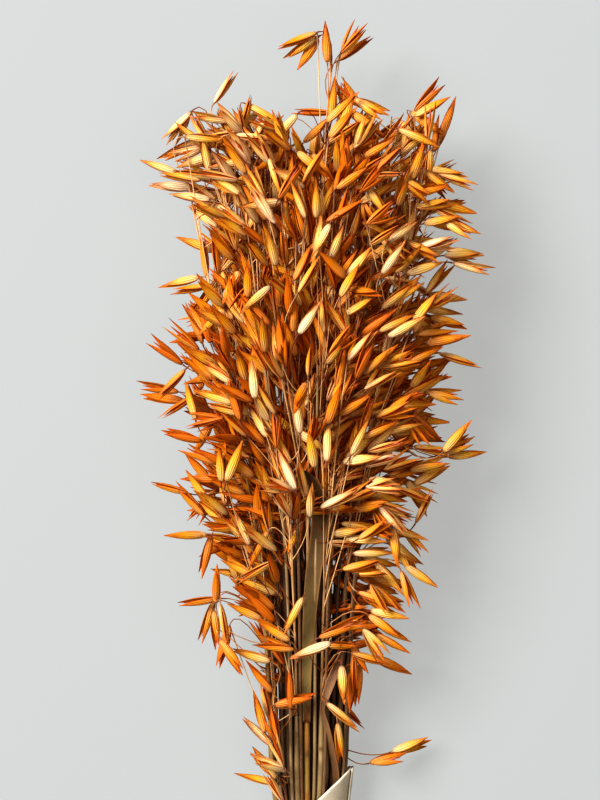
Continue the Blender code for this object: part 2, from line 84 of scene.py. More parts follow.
lamp("window", (-2.20, 1.75, 2.90), 2.0, 276, (1.0, 0.985, 0.97))
lamp("ceiling", (0.8, 0.1, 2.6), 2.0, 22, (1.0, 0.94, 0.86))

world = bpy.data.worlds.new("room")
world.use_nodes = True
sky = world.node_tree.nodes["Background"].inputs
sky["Color"].default_value = (1.0, 0.82, 0.64, 1)
sky["Strength"].default_value = 0.08
bpy.context.scene.world = world
bpy.context.scene.view_settings.view_transform = "Standard"
bpy.context.scene.view_settings.look = "High Contrast"

floor_mesh = bpy.data.meshes.new("floor")
floor_corners = [(x * FLOOR_HALF, y * FLOOR_HALF, 0) for x, y in ((-1, -1), (1, -1), (1, 1), (-1, 1))]
floor_mesh.from_pydata(floor_corners, [], [(0, 1, 2, 3)])
floor = bpy.data.objects.new("floor", floor_mesh)
bpy.context.scene.collection.objects.link(floor)
pale = bpy.data.materials.new("pale_floor")
pale.use_nodes = True
matt = pale.node_tree.nodes["Principled BSDF"].inputs
matt["Base Color"].default_value = (0.100, 0.109, 0.113, 1)
matt["Roughness"].default_value = 0.9
matt["Emission Color"].default_value = (0.985, 1.0, 0.98, 1)
matt["Emission Strength"].default_value = 0.335
floor_mesh.materials.append(pale)


# Where the stems run. Each oat stem has a place in a close lattice at the waist, and fans out from it.
# The rule and its draws are those of the solids, so each finer piece grows where its solid stands.
SEED = 4
STEMS = 26
PITCH = 0.0048
CULM_FOOT_RADIUS = 0.0021
CULM_NECK_RADIUS = 0.0014
FOOT_Y, FOOT_LOOSE = -0.100, 0.006
JOINT_GAP = 0.0003

# How far a stem sways as the lattice spreads, in pitches, and how fast that turns, in radians a metre.
SWAY, SWAY_TURN = 0.26, 9

# Heights over the waist, how far the lattice has spread there, across and in depth, and its middle's z.
SPREAD_Y = (-0.110, -0.008, 0.008, 0.060, 0.120, 0.200, 0.280, 0.360, 0.440, 0.530)
SPREAD_X = (1.35, 1.00, 1.00, 1.45, 1.62, 1.95, 2.90, 4.10, 4.80, 5.10)
SPREAD_Z = (1.15, 1.00, 1.00, 1.40, 1.75, 2.40, 3.20, 3.90, 4.20, 4.20)
CENTRE_Z = (0.0150, 0.0158, 0.0158, 0.0185, 0.0270, 0.0400, 0.0510, 0.0560, 0.0560, 0.0540)

# Tips of the rachises: tall in the middle layers, short in the outer ones, and low at the two edges.
TALL_TIP, MIDDLE_TIP, SHORT_TIP = 0.454, 0.390, 0.300
TALL_LAYER, MIDDLE_LAYER = 0.2, 0.7
TIP_LOOSE = (-0.040, 0.018)
LEFT_TIP, RIGHT_TIP, EDGE_TIP_MORE = 0.190, 0.224, 0.05
EDGE_U = 2.4 * PITCH
LEADER_TIP = 0.489
LEADER_LEAN = 0.0115
PANICLE_LENGTH, PANICLE_SHARES = 0.185, (0.9, 1.05)
NODS = (0.004, 0.012)
RACHIS_RADIUS = 0.0011
STEM_DRAWS = 1


def draws(kind, *which):
    """The random draws of one thing, from the seed, a number for its kind, and its own numbers."""
    return np.random.default_rng([SEED, kind, *which])


def eased(y, heights, values):
    """A smooth curve through (heights, values): cubic between them, with each slope from its neighbours."""
    heights, values = np.array(heights), np.array(values)
    slopes = np.gradient(values, heights)
    y = np.clip(y, heights[0], heights[-1])
    i = np.clip(np.searchsorted(heights, y) - 1, 0, len(heights) - 2)
    step = heights[i + 1] - heights[i]
    t = (y - heights[i]) / step
    rise = values[i + 1] - values[i]
    a = slopes[i] * step - rise
    b = rise - slopes[i + 1] * step
    return values[i] + t * rise + t * (1 - t) * ((1 - t) * a + t * b)


WIDTH_TO_DEPTH = 1.5
ROW = PITCH * math.sqrt(3) / 2


def lattice(count, right=0, up=0):
    """Places at the waist: the innermost points of a triangular lattice, seen as an ellipse.

    The lattice is moved right by a share of its pitch, and up by a share of its rows.
    """
    cells = [(i + (j % 2) / 2 + right, j + up) for j in range(-3, 4) for i in range(-5, 6)]
    points = [(x * PITCH, y * ROW) for x, y in cells]
    points.sort(key=lambda p: (round((p[0] / WIDTH_TO_DEPTH) ** 2 + p[1] ** 2, 9), p[0], p[1]))
    return points[:count]


class Stem:
    """One oat stem: a culm up to its neck, and above it the rachis of its panicle."""

    def __init__(self, number, u, v):
        draw = draws(STEM_DRAWS, number)
        self.u, self.v = u, v
        self.foot = FOOT_Y + draw.uniform(-FOOT_LOOSE, FOOT_LOOSE)
        self.phase = draw.uniform(0, 2 * math.pi)
        depth = abs(v) / (PITCH * math.sqrt(3))
        layer = TALL_TIP if depth < TALL_LAYER else MIDDLE_TIP if depth < MIDDLE_LAYER else SHORT_TIP
        self.tip = layer + draw.uniform(*TIP_LOOSE)
        self.lean = 0
        if number == 0:
            self.tip, self.lean = LEADER_TIP, LEADER_LEAN
        if abs(u) > EDGE_U and (v < 0 or u < 0 < v):
            self.tip = (LEFT_TIP if u < 0 else RIGHT_TIP) + draw.uniform(0, EDGE_TIP_MORE)
        self.neck = self.tip - PANICLE_LENGTH * draw.uniform(*PANICLE_SHARES)
        self.nod = draw.uniform(*NODS)

    def at(self, y):
        """The axis at height y: the lattice place spread out, a slow sway, and a nod above the neck."""
        y = np.asarray(y, float)
        across, deep = eased(y, SPREAD_Y, SPREAD_X), eased(y, SPREAD_Y, SPREAD_Z)
        sway = SWAY * PITCH * np.clip(across - 1, 0, 3)
        turn = self.phase + SWAY_TURN * y
        above = np.clip((y - self.neck) / (self.tip - self.neck), 0, 1) ** 2
        reach = math.hypot(self.u, self.v) + 1e-9
        x = self.u * across + sway * np.cos(turn) + (self.nod * self.u / reach + self.lean) * above
        z = eased(y, SPREAD_Y, CENTRE_Z) + self.v * deep + sway * np.sin(turn)
        return np.stack([x, y, z + self.nod * above * self.v / reach], -1)


stems = [Stem(number, u, v) for number, (u, v) in enumerate(lattice(STEMS))]


# The culms: hollow jointed straws, dried olive, taupe, brown or pale. Each is cut off at its foot and
# swells at its joints, and a dry sheath wraps it for a hand's breadth above each joint.
class Number:
    """A shader number. Arithmetic on it, from either side, adds Math nodes."""

    def __init__(self, finish, socket):
        self.finish, self.socket = finish, socket

    def math(self, operation, first, second=0.0):
        """The number that a Math node of that operation makes of two."""
        made = self.finish.node("ShaderNodeMath", {"operation": operation}, {0: first, 1: second})
        return Number(self.finish, made.outputs[0])

    def __add__(self, other):
        return self.math("ADD", self, other)

    def __sub__(self, other):
        return self.math("SUBTRACT", self, other)

    def __rsub__(self, other):
        return self.math("SUBTRACT", other, self)

    def __mul__(self, other):
        return self.math("MULTIPLY", self, other)

    def __abs__(self):
        return self.math("ABSOLUTE", self)

    __radd__, __rmul__ = __add__, __mul__

    def cosine(self):
        """The cosine of the number, which is an angle in radians."""
        return self.math("COSINE", self)


class Finish:
    """A Principled material, and the nodes that its finish is made of."""

    def __init__(self, name, roughness):
        self.material = bpy.data.materials.new(name)
        self.material.use_nodes = True
        self.tree = self.material.node_tree
        self.shader = self.tree.nodes["Principled BSDF"]
        self.shader.inputs["Roughness"].default_value = roughness

    def node(self, kind, settings, sockets):
        """A node of that kind. Its settings, or a ramp's stops, are set before its sockets are fed."""
        made = self.tree.nodes.new(kind)
        stops = settings.pop("stops", ())
        for place, _ in stops[2:]:
            made.color_ramp.elements.new(place)
        for element, (place, colour) in zip(made.color_ramp.elements if stops else (), stops):
            element.position = place
            element.color = (*colour, 1)
        for name, value in settings.items():
            setattr(made, name, value)
        self.feed(made, sockets)
        return made

    def feed(self, node, sockets):
        """Gives each of a node's sockets a value or a link."""
        for name, value in sockets.items():
            socket = node.inputs[name]
            if isinstance(value, Number):
                value = value.socket
            if isinstance(value, bpy.types.NodeSocket):
                self.tree.links.new(value, socket)
            elif socket.type == "RGBA":
                socket.default_value = (*value, 1)
            else:
                socket.default_value = value

    def look(self):
        """The three numbers of the attribute look, then the number of the attribute kind."""
        read = self.node("ShaderNodeAttribute", {"attribute_name": "look"}, {})
        split = self.node("ShaderNodeSeparateXYZ", {}, {0: read.outputs["Vector"]})
        kind = self.node("ShaderNodeAttribute", {"attribute_name": "kind"}, {})
        return [Number(self, socket) for socket in (*split.outputs, kind.outputs["Fac"])]

    def noise(self, detail, *cells):
        """Noise from 0 to 1 over Object coordinates, with that many cells to a metre along x, y and z."""
        place = self.node("ShaderNodeTexCoord", {}, {}).outputs["Object"]
        place = self.node("ShaderNodeMapping", {}, {"Vector": place, "Scale": cells}).outputs[0]
        settings = {"Vector": place, "Scale": 1.0, "Detail": detail}
        return Number(self, self.node("ShaderNodeTexNoise", {}, settings).outputs[0])

    def step(self, number, low, high):
        """0 where the number is at low and 1 where it is at high, smoothly between."""
        made = self.node(
            "ShaderNodeMapRange",
            {"interpolation_type": "SMOOTHSTEP"},
            {"Value": number, "From Min": low, "From Max": high},
        )
        return Number(self, made.outputs[0])

    def ramp(self, number, *stops):
        """A colour by number, from (number, colour) stops."""
        return self.node("ShaderNodeValToRGB", {"stops": stops}, {"Fac": number}).outputs[0]

    def mix(self, share, first, second):
        """The first colour where share is 0, and the second where it is 1."""
        sockets = {0: share, 6: first, 7: second}
        return self.node("ShaderNodeMix", {"data_type": "RGBA"}, sockets).outputs[2]

    def bump(self, height, depth):
        """Raises the surface by height times depth, in metres."""
        made = self.node("ShaderNodeBump", {}, {"Height": height, "Distance": depth})
        self.feed(self.shader, {"Normal": made.outputs[0]})


def normal(vectors):
    """Each vector at length 1."""
    return vectors / np.linalg.norm(vectors, axis=-1, keepdims=True)


def way(path):
    """The direction ahead at each point of each path."""
    return normal(np.gradient(path, axis=-2))


def round_rings(path, ahead, radius, sides):
    """Rings of round tubes: at each point of each path, a circle of that radius across the way ahead.

    path is (tubes, points, 3) and radius is (tubes, points). A ring is cos(turn) across + sin(turn) up.
    One direction for the whole tube, made square to the way ahead, gives across, so no tube twists.
    """
    mean = normal(ahead.mean(1))
    across = np.cross(mean, np.where(abs(mean[:, 2:]) > 0.8, (1.0, 0, 0), (0, 0, 1.0)))[:, None]
    across = normal(across - (across * ahead).sum(-1, keepdims=True) * ahead)
    up = np.cross(ahead, across)
    turn = np.linspace(0, 2 * math.pi, sides, endpoint=False)[:, None]
    ring = np.cos(turn) * across[:, :, None] + np.sin(turn) * up[:, :, None]
    return path[:, :, None] + radius[:, :, None, None] * ring


def looks(along, across, tint):
    """The attribute look: how far along and across its part each point is, and the part's tint."""
    return np.stack(np.broadcast_arrays(along, across, tint), -1)


FLOOR_CLEAR = 0.0001


class Heap:
    """Closed tubes of any cross-section that are gathered into one mesh."""

    def __init__(self):
        self.points, self.looks, self.kinds, self.corners, self.sizes = [], [], [], [], []
        self.count = 0

    def add(self, rings, look, kind=0.0):
        """Adds tubes of (tubes, rings, sides, 3) points, each closed at both ends by a fan to a point.

        Each ring runs anticlockwise round the way ahead. look is three numbers for each point, in a
        shape that spreads to the rings', and kind is one number for all.
        """
        tubes, along, sides, _ = rings.shape
        for values, into in ((rings, self.points), (np.broadcast_to(look, rings.shape), self.looks)):
            ends = np.stack([values[:, 0].mean(1), values[:, -1].mean(1)], 1)
            into.append(np.concatenate([values.reshape(tubes, -1, 3), ends], 1).reshape(-1, 3))
        each = along * sides + 2
        self.kinds.append(np.full(tubes * each, kind))
        j = np.arange(sides)
        after = (j + 1) % sides
        row = np.arange(along - 1)[:, None] * sides
        walls = np.stack([row + j, row + after, row + sides + after, row + sides + j], -1)
        last = (along - 1) * sides
        tail = np.stack([np.full(sides, each - 2), after, j], -1)
        head = np.stack([np.full(sides, each - 1), last + j, last + after], -1)
        start = self.count + np.arange(tubes)[:, None] * each
        for faces in (walls.reshape(-1, 4), tail, head):
            self.corners.append((start + faces.reshape(1, -1)).reshape(-1))
            self.sizes.append(np.full(tubes * len(faces), faces.shape[1]))
        self.count += tubes * each

    def add_round(self, path, radius, sides, look, kind=0.0):
        """Adds round tubes along the paths, with a radius that spreads to (tubes, points)."""
        radius = np.broadcast_to(radius, path.shape[:2])
        self.add(round_rings(path, way(path), radius, sides), look, kind)

    def piece(self, name, finish, slot, *nodes):
        """The heap as a piece in its place, just clear of the floor, which stands for those nodes."""
        points = np.concatenate(self.points) + (0, WAIST_Y, 0)
        points[:, 2] = np.maximum(points[:, 2], FLOOR_CLEAR)
        corners, sizes = np.concatenate(self.corners), np.concatenate(self.sizes)
        mesh = bpy.data.meshes.new(name)
        mesh.vertices.add(len(points))
        mesh.vertices.foreach_set("co", points.ravel())
        mesh.loops.add(len(corners))
        mesh.loops.foreach_set("vertex_index", corners)
        mesh.polygons.add(len(sizes))
        mesh.polygons.foreach_set("loop_start", np.cumsum(sizes) - sizes)
        mesh.polygons.foreach_set("loop_total", sizes)
        mesh.update(calc_edges=True)
        look = mesh.attributes.new("look", "FLOAT_VECTOR", "POINT")
        look.data.foreach_set("vector", np.concatenate(self.looks).ravel())
        kind = mesh.attributes.new("kind", "FLOAT", "POINT")
        kind.data.foreach_set("value", np.concatenate(self.kinds))
        return shown(name, mesh, finish, slot, *nodes)


SHARP = math.radians(60)


def shown(name, mesh, finish, slot, *nodes):
    """The mesh as a smooth piece of the bundle, in that finish, which stands for those nodes."""
    mesh.shade_smooth()
    mesh.set_sharp_from_angle(angle=SHARP)
    mesh.materials.append(finish.material)
    made = bpy.data.objects.new(name, mesh)
    bpy.context.scene.collection.objects.link(made)
    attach(made, "root")
    if nodes:
        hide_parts(*nodes)
    return made


def straw_finish():
    """Dry straw: each culm in a tint of its own, duller where sheathed, dark at joints, finely grooved."""
    finish = Finish("straw", 0.5)
    sheath, joint, tint, _ = finish.look()
    culm = finish.ramp(
        tint,
        (0.00, (0.070, 0.033, 0.013)),
        (0.20, (0.190, 0.090, 0.036)),
        (0.36, (0.340, 0.220, 0.036)),
        (0.52, (0.240, 0.165, 0.100)),
        (0.68, (0.470, 0.340, 0.180)),
        (0.84, (0.220, 0.155, 0.034)),
        (1.00, (0.330, 0.205, 0.050)),
    )
    sheathed = finish.ramp(
        tint,
        (0.00, (0.060, 0.027, 0.012)),
        (0.20, (0.140, 0.080, 0.040)),
        (0.50, (0.250, 0.165, 0.078)),
        (0.75, (0.200, 0.140, 0.048)),
        (1.00, (0.300, 0.130, 0.022)),
    )
    colour = finish.mix(sheath * 0.80, culm, sheathed)
    grooves = finish.noise(2.0, 2600, 22, 2600)
    blotch = finish.noise(4.0, 260, 45, 260)
    worn = finish.step(grooves, 0.50, 0.80) * 0.3 * finish.step(tint, 0.02, 0.2)
    colour = finish.mix(worn, colour, (0.62, 0.47, 0.25))
    colour = finish.mix(finish.step(blotch, 0.52, 0.80) * 0.55, colour, (0.10, 0.050, 0.022))
    colour = finish.mix(joint * 0.8, colour, (0.11, 0.055, 0.022))
    finish.feed(finish.shader, {"Base Color": colour, "Roughness": 0.38 + 0.3 * blotch})
    finish.bump(grooves + 0.5 * blotch, 0.00012)
    return finish


CULM_SIDES, CULM_RINGS = 10, 90
TAPER_TOP = 0.3
JOINTS_APART = (0.085, 0.150)
FIRST_JOINT = (-0.06, 0.03)
JOINT_SWELL, JOINT_REACH = 0.24, 0.0016
SHEATH_SWELL, SHEATH_REACH = 0.12, 0.095
BORE = 0.45
BORE_DEPTH = 0.006
NECK_TAPER = 0.030
CULM_DRAWS, THIN_DRAWS = 10, 11


def culm_radius(y):
    """A culm's radius at y over the waist: it tapers evenly up to TAPER_TOP."""
    return np.interp(y, (0, TAPER_TOP), (CULM_FOOT_RADIUS, CULM_NECK_RADIUS))


def grow_culm(heap, stem, neck, girth, tint, draw):
    """One culm as a tube: out of its bore at the foot, then up to its neck past joints and sheaths.

    Its radius tapers from foot to neck, swells as a bell curve at each joint, and is larger by a
    sheath's thickness for a stretch above each joint. It narrows to the rachis below its neck.
    """
    foot = stem.foot
    y = np.concatenate([[foot + BORE_DEPTH, foot, foot], np.linspace(foot, neck, CULM_RINGS)[1:]])
    joints = foot + np.cumsum(draw.uniform(*JOINTS_APART, 3)) + draw.uniform(*FIRST_JOINT)
    reach = y[:, None] - joints
    joint = np.exp(-((reach / JOINT_REACH) ** 2)).max(1)
    sheath = ((reach > 0) & (reach < SHEATH_REACH)).any(1) * 1.0
    radius = girth * culm_radius(y)
    radius *= 1 + JOINT_SWELL * joint + SHEATH_SWELL * sheath
    slim = RACHIS_RADIUS / culm_radius(neck)
    radius *= np.interp(y, (neck - NECK_TAPER, neck), (1, slim))
    radius[:2] *= BORE
    # Two of its rings share a height, so the way ahead is taken from a millimetre to each side.
    ahead = normal(stem.at(y + 0.001) - stem.at(y - 0.001))
    rings = round_rings(stem.at(y)[None], ahead[None], radius[None], CULM_SIDES)
    heap.add(rings, looks(sheath[:, None], joint[:, None], tint))


# The inmost culms are painted dark, as shade deep in the bunch, and those on the bundle's right are painted
# darker, as shade on the side away from the window. The one that carries the blade is golden.
INMOST, GOLDEN_CULM, GOLDEN_TINT = 10, 14, 1.0
INMOST_SHADE_TINTS, STRAW_TINTS = (0, 0.12), (0.15, 0.90)
RIGHT_SHADE_FROM = 0.006
RIGHT_SHADE_SHARE = 0.35


def culm_tint(number, stem, inmost, draw):
    """Where a culm's colour stands on the ramp of straw, from dark browns to gold: low on it, as painted
    shade, for the inmost culms and those on the right.
    """
    tint = draw.uniform(*(INMOST_SHADE_TINTS if number < inmost else STRAW_TINTS))
    return RIGHT_SHADE_SHARE * tint if stem.u > RIGHT_SHADE_FROM else tint


straw = straw_finish()
for number, stem in enumerate(stems):
    heap = Heap()
    draw = draws(CULM_DRAWS, number)
    tint = GOLDEN_TINT if number == GOLDEN_CULM else culm_tint(number, stem, INMOST, draw)
    grow_culm(heap, stem, stem.neck - JOINT_GAP, 1.0, tint, draw)
    heap.piece(f"straw_culm_{number + 1:02d}", straw, "straw", f"culm_{number + 1:02d}")

# Thinner culms stand in the gaps between those, as in any bunch, and end among the heads. They are in the
# middles of the lattice's upright triangles, with a few at the bundle's edges, in pitches and rows.
THIN_CULMS = 30
# The innermost of these are painted dark too, as shade deep in the bunch.
THIN_INMOST = 20
THIN_GIRTH = 0.5
THIN_NECKS = (0.18, 0.34)
FIRST_THIN = 50
EDGE_CULMS = ((3.30, -0.5), (3.35, 0.7), (3.10, 1.4), (-3.25, 0.5), (-3.20, -0.8))

heap = Heap()
places = lattice(THIN_CULMS, 1 / 2, 1 / 3) + [(u * PITCH, v * ROW) for u, v in EDGE_CULMS]
for number, (u, v) in enumerate(places):
    stem = Stem(number + FIRST_THIN, u, v)
    draw = draws(THIN_DRAWS, number)
    stem.neck = draw.uniform(*THIN_NECKS)
    stem.tip = stem.neck + PANICLE_LENGTH
    grow_culm(heap, stem, stem.neck, THIN_GIRTH, culm_tint(number, stem, THIN_INMOST, draw), draw)
heap.piece("thin_culms", straw, "straw")


# Two dry leaves, left on their stems: a broad olive blade, dark and curled at its tip, and a brown
# one that is folded over. Each is a thin ribbed sheet with a midrib, growing from its culm.
BLADE_STEM, FOLDED_STEM = 14, 22

# Their routes, each from its stem: across, y, height over the stem's axis, half width, and roll in degrees.
BLADE = (
    (0.000, 0.096, 0.0036, 0.0022, 0),
    (0.000, 0.126, 0.0038, 0.0028, 4),
    (0.001, 0.156, 0.0044, 0.0040, 10),
    (0.003, 0.184, 0.0052, 0.0048, 14),
    (0.006, 0.208, 0.0062, 0.0050, 12),
    (0.007, 0.226, 0.0080, 0.0048, 2),
    (0.004, 0.240, 0.0110, 0.0040, -18),
    (-0.002, 0.249, 0.0136, 0.0026, -40),
    (-0.008, 0.251, 0.0144, 0.0010, -60),
)
FOLDED = (
    (0.0000, 0.046, 0.0034, 0.0018, 0),
    (-0.0004, 0.060, 0.0040, 0.0020, 10),
    (-0.0036, 0.076, 0.0076, 0.0022, 22),
    (-0.0076, 0.092, 0.0112, 0.0020, 30),
    (-0.0106, 0.104, 0.0126, 0.0013, 8),
    (-0.0090, 0.112, 0.0130, 0.0024, -14),
    (-0.0060, 0.122, 0.0124, 0.0031, -20),
    (-0.0026, 0.132, 0.0114, 0.0028, -24),
    (0.0006, 0.142, 0.0108, 0.0012, -30),
)
LEAF_THICK = 0.0008
CREASE, CREASE_CURVE = 0.28, 1.6
LEAF_ROWS, LEAF_COLUMNS = 90, 24
LEAF_RIBS = 44.0
RIPPLE = 0.00035


def leaf_finish(name, stops, edge):
    """A dry leaf: its colour runs along it, with fine ribs, reddish edges, and brown blotches."""
    finish = Finish(name, 0.55)
    along, across, _, _ = finish.look()
    ribs = (across * LEAF_RIBS).cosine()
    blotch = finish.noise(4.0, 300, 60, 300)
    colour = finish.ramp(along + 0.22 * (blotch - 0.5), *stops)
    colour = finish.mix(finish.step(ribs, 0.2, 1.0) * 0.30, colour, (0.36, 0.24, 0.10))
    colour = finish.mix(finish.step(abs(across), 0.75, 1.0) * 0.7, colour, edge)
    colour = finish.mix(finish.step(blotch, 0.52, 0.75) * 0.55, colour, (0.09, 0.04, 0.018))
    finish.feed(finish.shader, {"Base Color": colour, "Roughness": 0.40 + 0.3 * blotch})
    finish.bump(0.5 * ribs + blotch, 0.00018)
    return finish


def sheet_faces(rows, columns):
    """Quads of a grid of points that runs row by row, each from one point to the next three round it."""
    i, j = np.arange(rows - 1)[:, None], np.arange(columns - 1)
    a = i * columns + j
    return np.stack([a, a + 1, a + columns + 1, a + columns], -1).reshape(-1, 4)


def thickened(piece, thickness):
    """Gives a sheet its thickness, half to each side."""
    thick = piece.modifiers.new("thick", "SOLIDIFY")
    thick.thickness = thickness
    thick.offset = 0


def sheet(name, points, look, finish, slot, *nodes):
    """A sheet through (rows, columns, 3) points, with look's three numbers at each."""
    rows, columns, _ = points.shape
    mesh = bpy.data.meshes.new(name)
    placed = (points + (0, WAIST_Y, 0)).reshape(-1, 3)
    mesh.from_pydata(placed.tolist(), [], sheet_faces(rows, columns).tolist())
    mesh.attributes.new("look", "FLOAT_VECTOR", "POINT").data.foreach_set("vector", look.ravel())
    return shown(name, mesh, finish, slot, *nodes)


def grow_leaf(name, stations, stem, finish, node):
    """A leaf through its stations, smooth along it, folded softly at its midrib, with rippled edges.

    Across it, a point at share a of the half width drops by CREASE (1 - |a|^CREASE_CURVE) of it, and
    its edges rise and fall by a wave that grows as a^2 towards them.
    """
    count = len(stations)
    share = np.linspace(0, count - 1, LEAF_ROWS)
    x, y, over, half, roll = (eased(share, range(count), column) for column in zip(*stations))
    a = np.linspace(-1, 1, LEAF_COLUMNS)
    roll = np.radians(roll)[:, None]
    side = np.stack([np.cos(roll), 0 * roll, np.sin(roll)], -1)
    keel = np.stack([np.sin(roll), 0 * roll, -np.cos(roll)], -1)
    fold = CREASE * (1 - abs(a) ** CREASE_CURVE)[None, :, None]
    wave = RIPPLE * (abs(a) ** 2)[None, :] * np.sin(1.7 * share[:, None] + 2 * a) / half[:, None]
    middle = stem.at(y) + np.stack([x, 0 * x, over], -1)
    out = a[None, :, None] * side + (fold + wave[..., None]) * keel
    points = middle[:, None] + half[:, None, None] * out
    look = looks((share / (count - 1))[:, None], a, 0)
    thickened(sheet(name, points, look, finish, "dry_leaf", node), LEAF_THICK)


blade_finish = leaf_finish(
    "leaf_olive",
    (
        (0.0, (0.22, 0.070, 0.020)),
        (0.06, (0.27, 0.200, 0.078)),
        (0.25, (0.150, 0.104, 0.034)),
        (0.45, (0.100, 0.052, 0.016)),
        (0.80, (0.055, 0.026, 0.010)),
    ),
    (0.30, 0.15, 0.05),
)
fold_finish = leaf_finish(
    "leaf_brown",
    ((0.0, (0.20, 0.095, 0.036)), (0.5, (0.34, 0.190, 0.098)), (1.0, (0.33, 0.170, 0.082))),
    (0.30, 0.13, 0.050),
)
grow_leaf("olive_blade", BLADE, stems[BLADE_STEM], blade_finish, "leaf_blade")
grow_leaf("folded_blade", FOLDED, stems[FOLDED_STEM], fold_finish, "leaf_folded")


# The panicles: each stem's head of spikelets, hung on hair-fine branches and dyed orange. A spikelet is
# two or three papery glumes, boats ribbed lengthwise that part at their tips, round a darker floret.
SPIKELETS = 280
CLEAR = 0.0006
MIDDLES_APART = 0.0115
LONGEST_BRANCH = 0.055

# The outline of the head: its reach to the left, to the right, and in depth, and what the area of its
# section is set against. Little stands in the innermost share of that.
HEAD_Y = (0.095, 0.118, 0.142, 0.178, 0.226, 0.274, 0.322, 0.370, 0.418, 0.450, 0.466)
HEAD_LEFT = (0.014, 0.020, 0.027, 0.048, 0.064, 0.071, 0.075, 0.060, 0.069, 0.072, 0.060)
HEAD_RIGHT = (0.014, 0.022, 0.042, 0.058, 0.069, 0.074, 0.082, 0.085, 0.085, 0.080, 0.068)
HEAD_DEPTH = (0.022, 0.026, 0.034, 0.042, 0.050, 0.057, 0.060, 0.060, 0.054, 0.044, 0.034)
HEAD_AREA = 0.0106
HOLLOW = 0.12

# The head's top edge dips between its two sides.
TOP_X = (-0.086, -0.071, -0.030, -0.014, 0.000, 0.011, 0.028, 0.052, 0.079, 0.088)
TOP_Y = (0.440, 0.458, 0.461, 0.450, 0.433, 0.465, 0.466, 0.451, 0.465, 0.450)

# How far spikelets lean out at the left and right edges of the head, and rise at its front, in degrees,
# and how loosely they keep to that.
LEAN_LEFT = (40, 45, 60, 62, 56, 62, 52, 36, 62, 58, 40)
LEAN_RIGHT = (120, 122, 126, 128, 116, 88, 72, 66, 70, 58, 40)
LEAN_CURVE = 0.6
RISE_MOST = 26
LEAN_LOOSE, RISE_LOOSE = 18, 12

# The bundle's front stays open low down, where its culms and the blade show.
FRONT_TOP = 0.205
FRONT_HALF = 0.019

PEDICEL_RADIUS = 0.00055
BRANCH_DROP = (0.008, 0.028)
BRANCH_ARRIVES = 0.45
NECK_CLEAR, TIP_CLEAR = 0.004, 0.001
SPIKELET_LENGTH, LENGTH_SHARES = 0.0245, (0.92, 1.08)
WIDEST_AT = 0.38
BASE_RADIUS = 0.0008
GLUME_RADIUS = 0.0028
TIP_RADIUS = 0.00025
OPEN_SHARE, OPEN_ANGLES = 0.30, (18, 26)
OPEN_FOOT, OPEN_FOOT_RADIUS = 0.0016, 0.0004
OPEN_PLACES, OPEN_SLIM = (0, 0.36, 0.86), 0.8
MOST_RODS = 6000
MOST_TRIES = 40
STANDOUT_DRAWS, SPIKELET_DRAWS = 2, 3


def nearest_gap(p, q, starts, ends):
    """The distance from the segment p-q to each of the segments starts-ends."""
    d1, d2, r = q - p, ends - starts, p - starts
    a, e = d1 @ d1, (d2 * d2).sum(1)
    b, c, f = d2 @ d1, r @ d1, (d2 * r).sum(1)
    apart = a * e - b * b
    s = np.clip((b * f - c * e) / np.where(apart > 1e-18, apart, 1), 0, 1)
    t = np.clip((b * s + f) / e, 0, 1)
    s = np.clip((b * t - c) / a, 0, 1)
    return np.linalg.norm(r + s[:, None] * d1 - t[:, None] * d2, axis=1)


class Filled:
    """What already takes up room: tapered rods as capsules, each with its owner."""

    def __init__(self):
        self.rods = np.zeros((MOST_RODS, 8))
        self.count = 0

    def add(self, owner, points, radii):
        """Adds a capsule from each point to the next, as thick as the larger of their two radii."""
        for p, q, r, s in zip(points, points[1:], radii, radii[1:]):
            self.rods[self.count] = (*p, *q, max(r, s), owner)
            self.count += 1

    def free(self, owner, points, radii, clear):
        """Whether the rods clear all that stands. The first may touch its own stem, where it is rooted."""
        rods = self.rods[: self.count]
        for i, (p, q, r, s) in enumerate(zip(points, points[1:], radii, radii[1:])):
            others = rods[rods[:, 7] != owner] if i == 0 else rods
            gaps = nearest_gap(p, q, others[:, :3], others[:, 3:6]) - others[:, 6] - max(r, s)
            if gaps.min() < clear:
                return False
        return True


def outline(y):
    """The head's reach at y over the waist: to the left, to the right, and in depth."""
    return tuple(eased(y, HEAD_Y, side) for side in (HEAD_LEFT, HEAD_RIGHT, HEAD_DEPTH))


def unit(vector):
    """One vector at length 1."""
    return vector / np.linalg.norm(vector)


def pointing(lean, rise):
    """The direction that leans from +Y towards +X, and then rises towards +Z, in degrees."""
    lean, rise = math.radians(lean), math.radians(rise)
    return np.array([math.sin(lean) * math.cos(rise), math.cos(lean) * math.cos(rise), math.sin(rise)])


def lean_at(middle):
    """The lean and rise of the spikelets round a point: none inside the head, and outwards at its edges."""
    left, right, deep = outline(middle[1])
    reach, most = (right, LEAN_RIGHT) if middle[0] > 0 else (left, LEAN_LEFT)
    side = math.copysign(abs(middle[0] / reach) ** LEAN_CURVE, middle[0])
    out = (middle[2] - eased(middle[1], SPREAD_Y, CENTRE_Z)) / deep
    return np.interp(middle[1], HEAD_Y, most) * side, RISE_MOST * out


def axis_of(middle, draw):
    """Which way a spikelet points: near enough as those round it do."""
    lean, rise = lean_at(middle)
    return pointing(lean + draw.normal(0, LEAN_LOOSE), rise + draw.normal(0, RISE_LOOSE))


def lifted(points, radii):
    """The points, each raised until its rod clears the surface."""
    low = np.asarray(radii) + FLOOR_CLEAR
    points = points.copy()
    points[:, 2] = np.maximum(points[:, 2], low)
    return points


def pedicel_root(stems, base, draw):
    """The stem whose rachis is nearest to a spikelet's base, and the point on it where its branch starts."""
    drop = draw.uniform(*BRANCH_DROP)
    best = None
    for number, stem in enumerate(stems):
        root = stem.at(np.clip(base[1] - drop, stem.neck + NECK_CLEAR, stem.tip - TIP_CLEAR))
        reach = np.linalg.norm(base - root)
        if best is None or reach < best[0]:
            best = (reach, number, root)
    return best


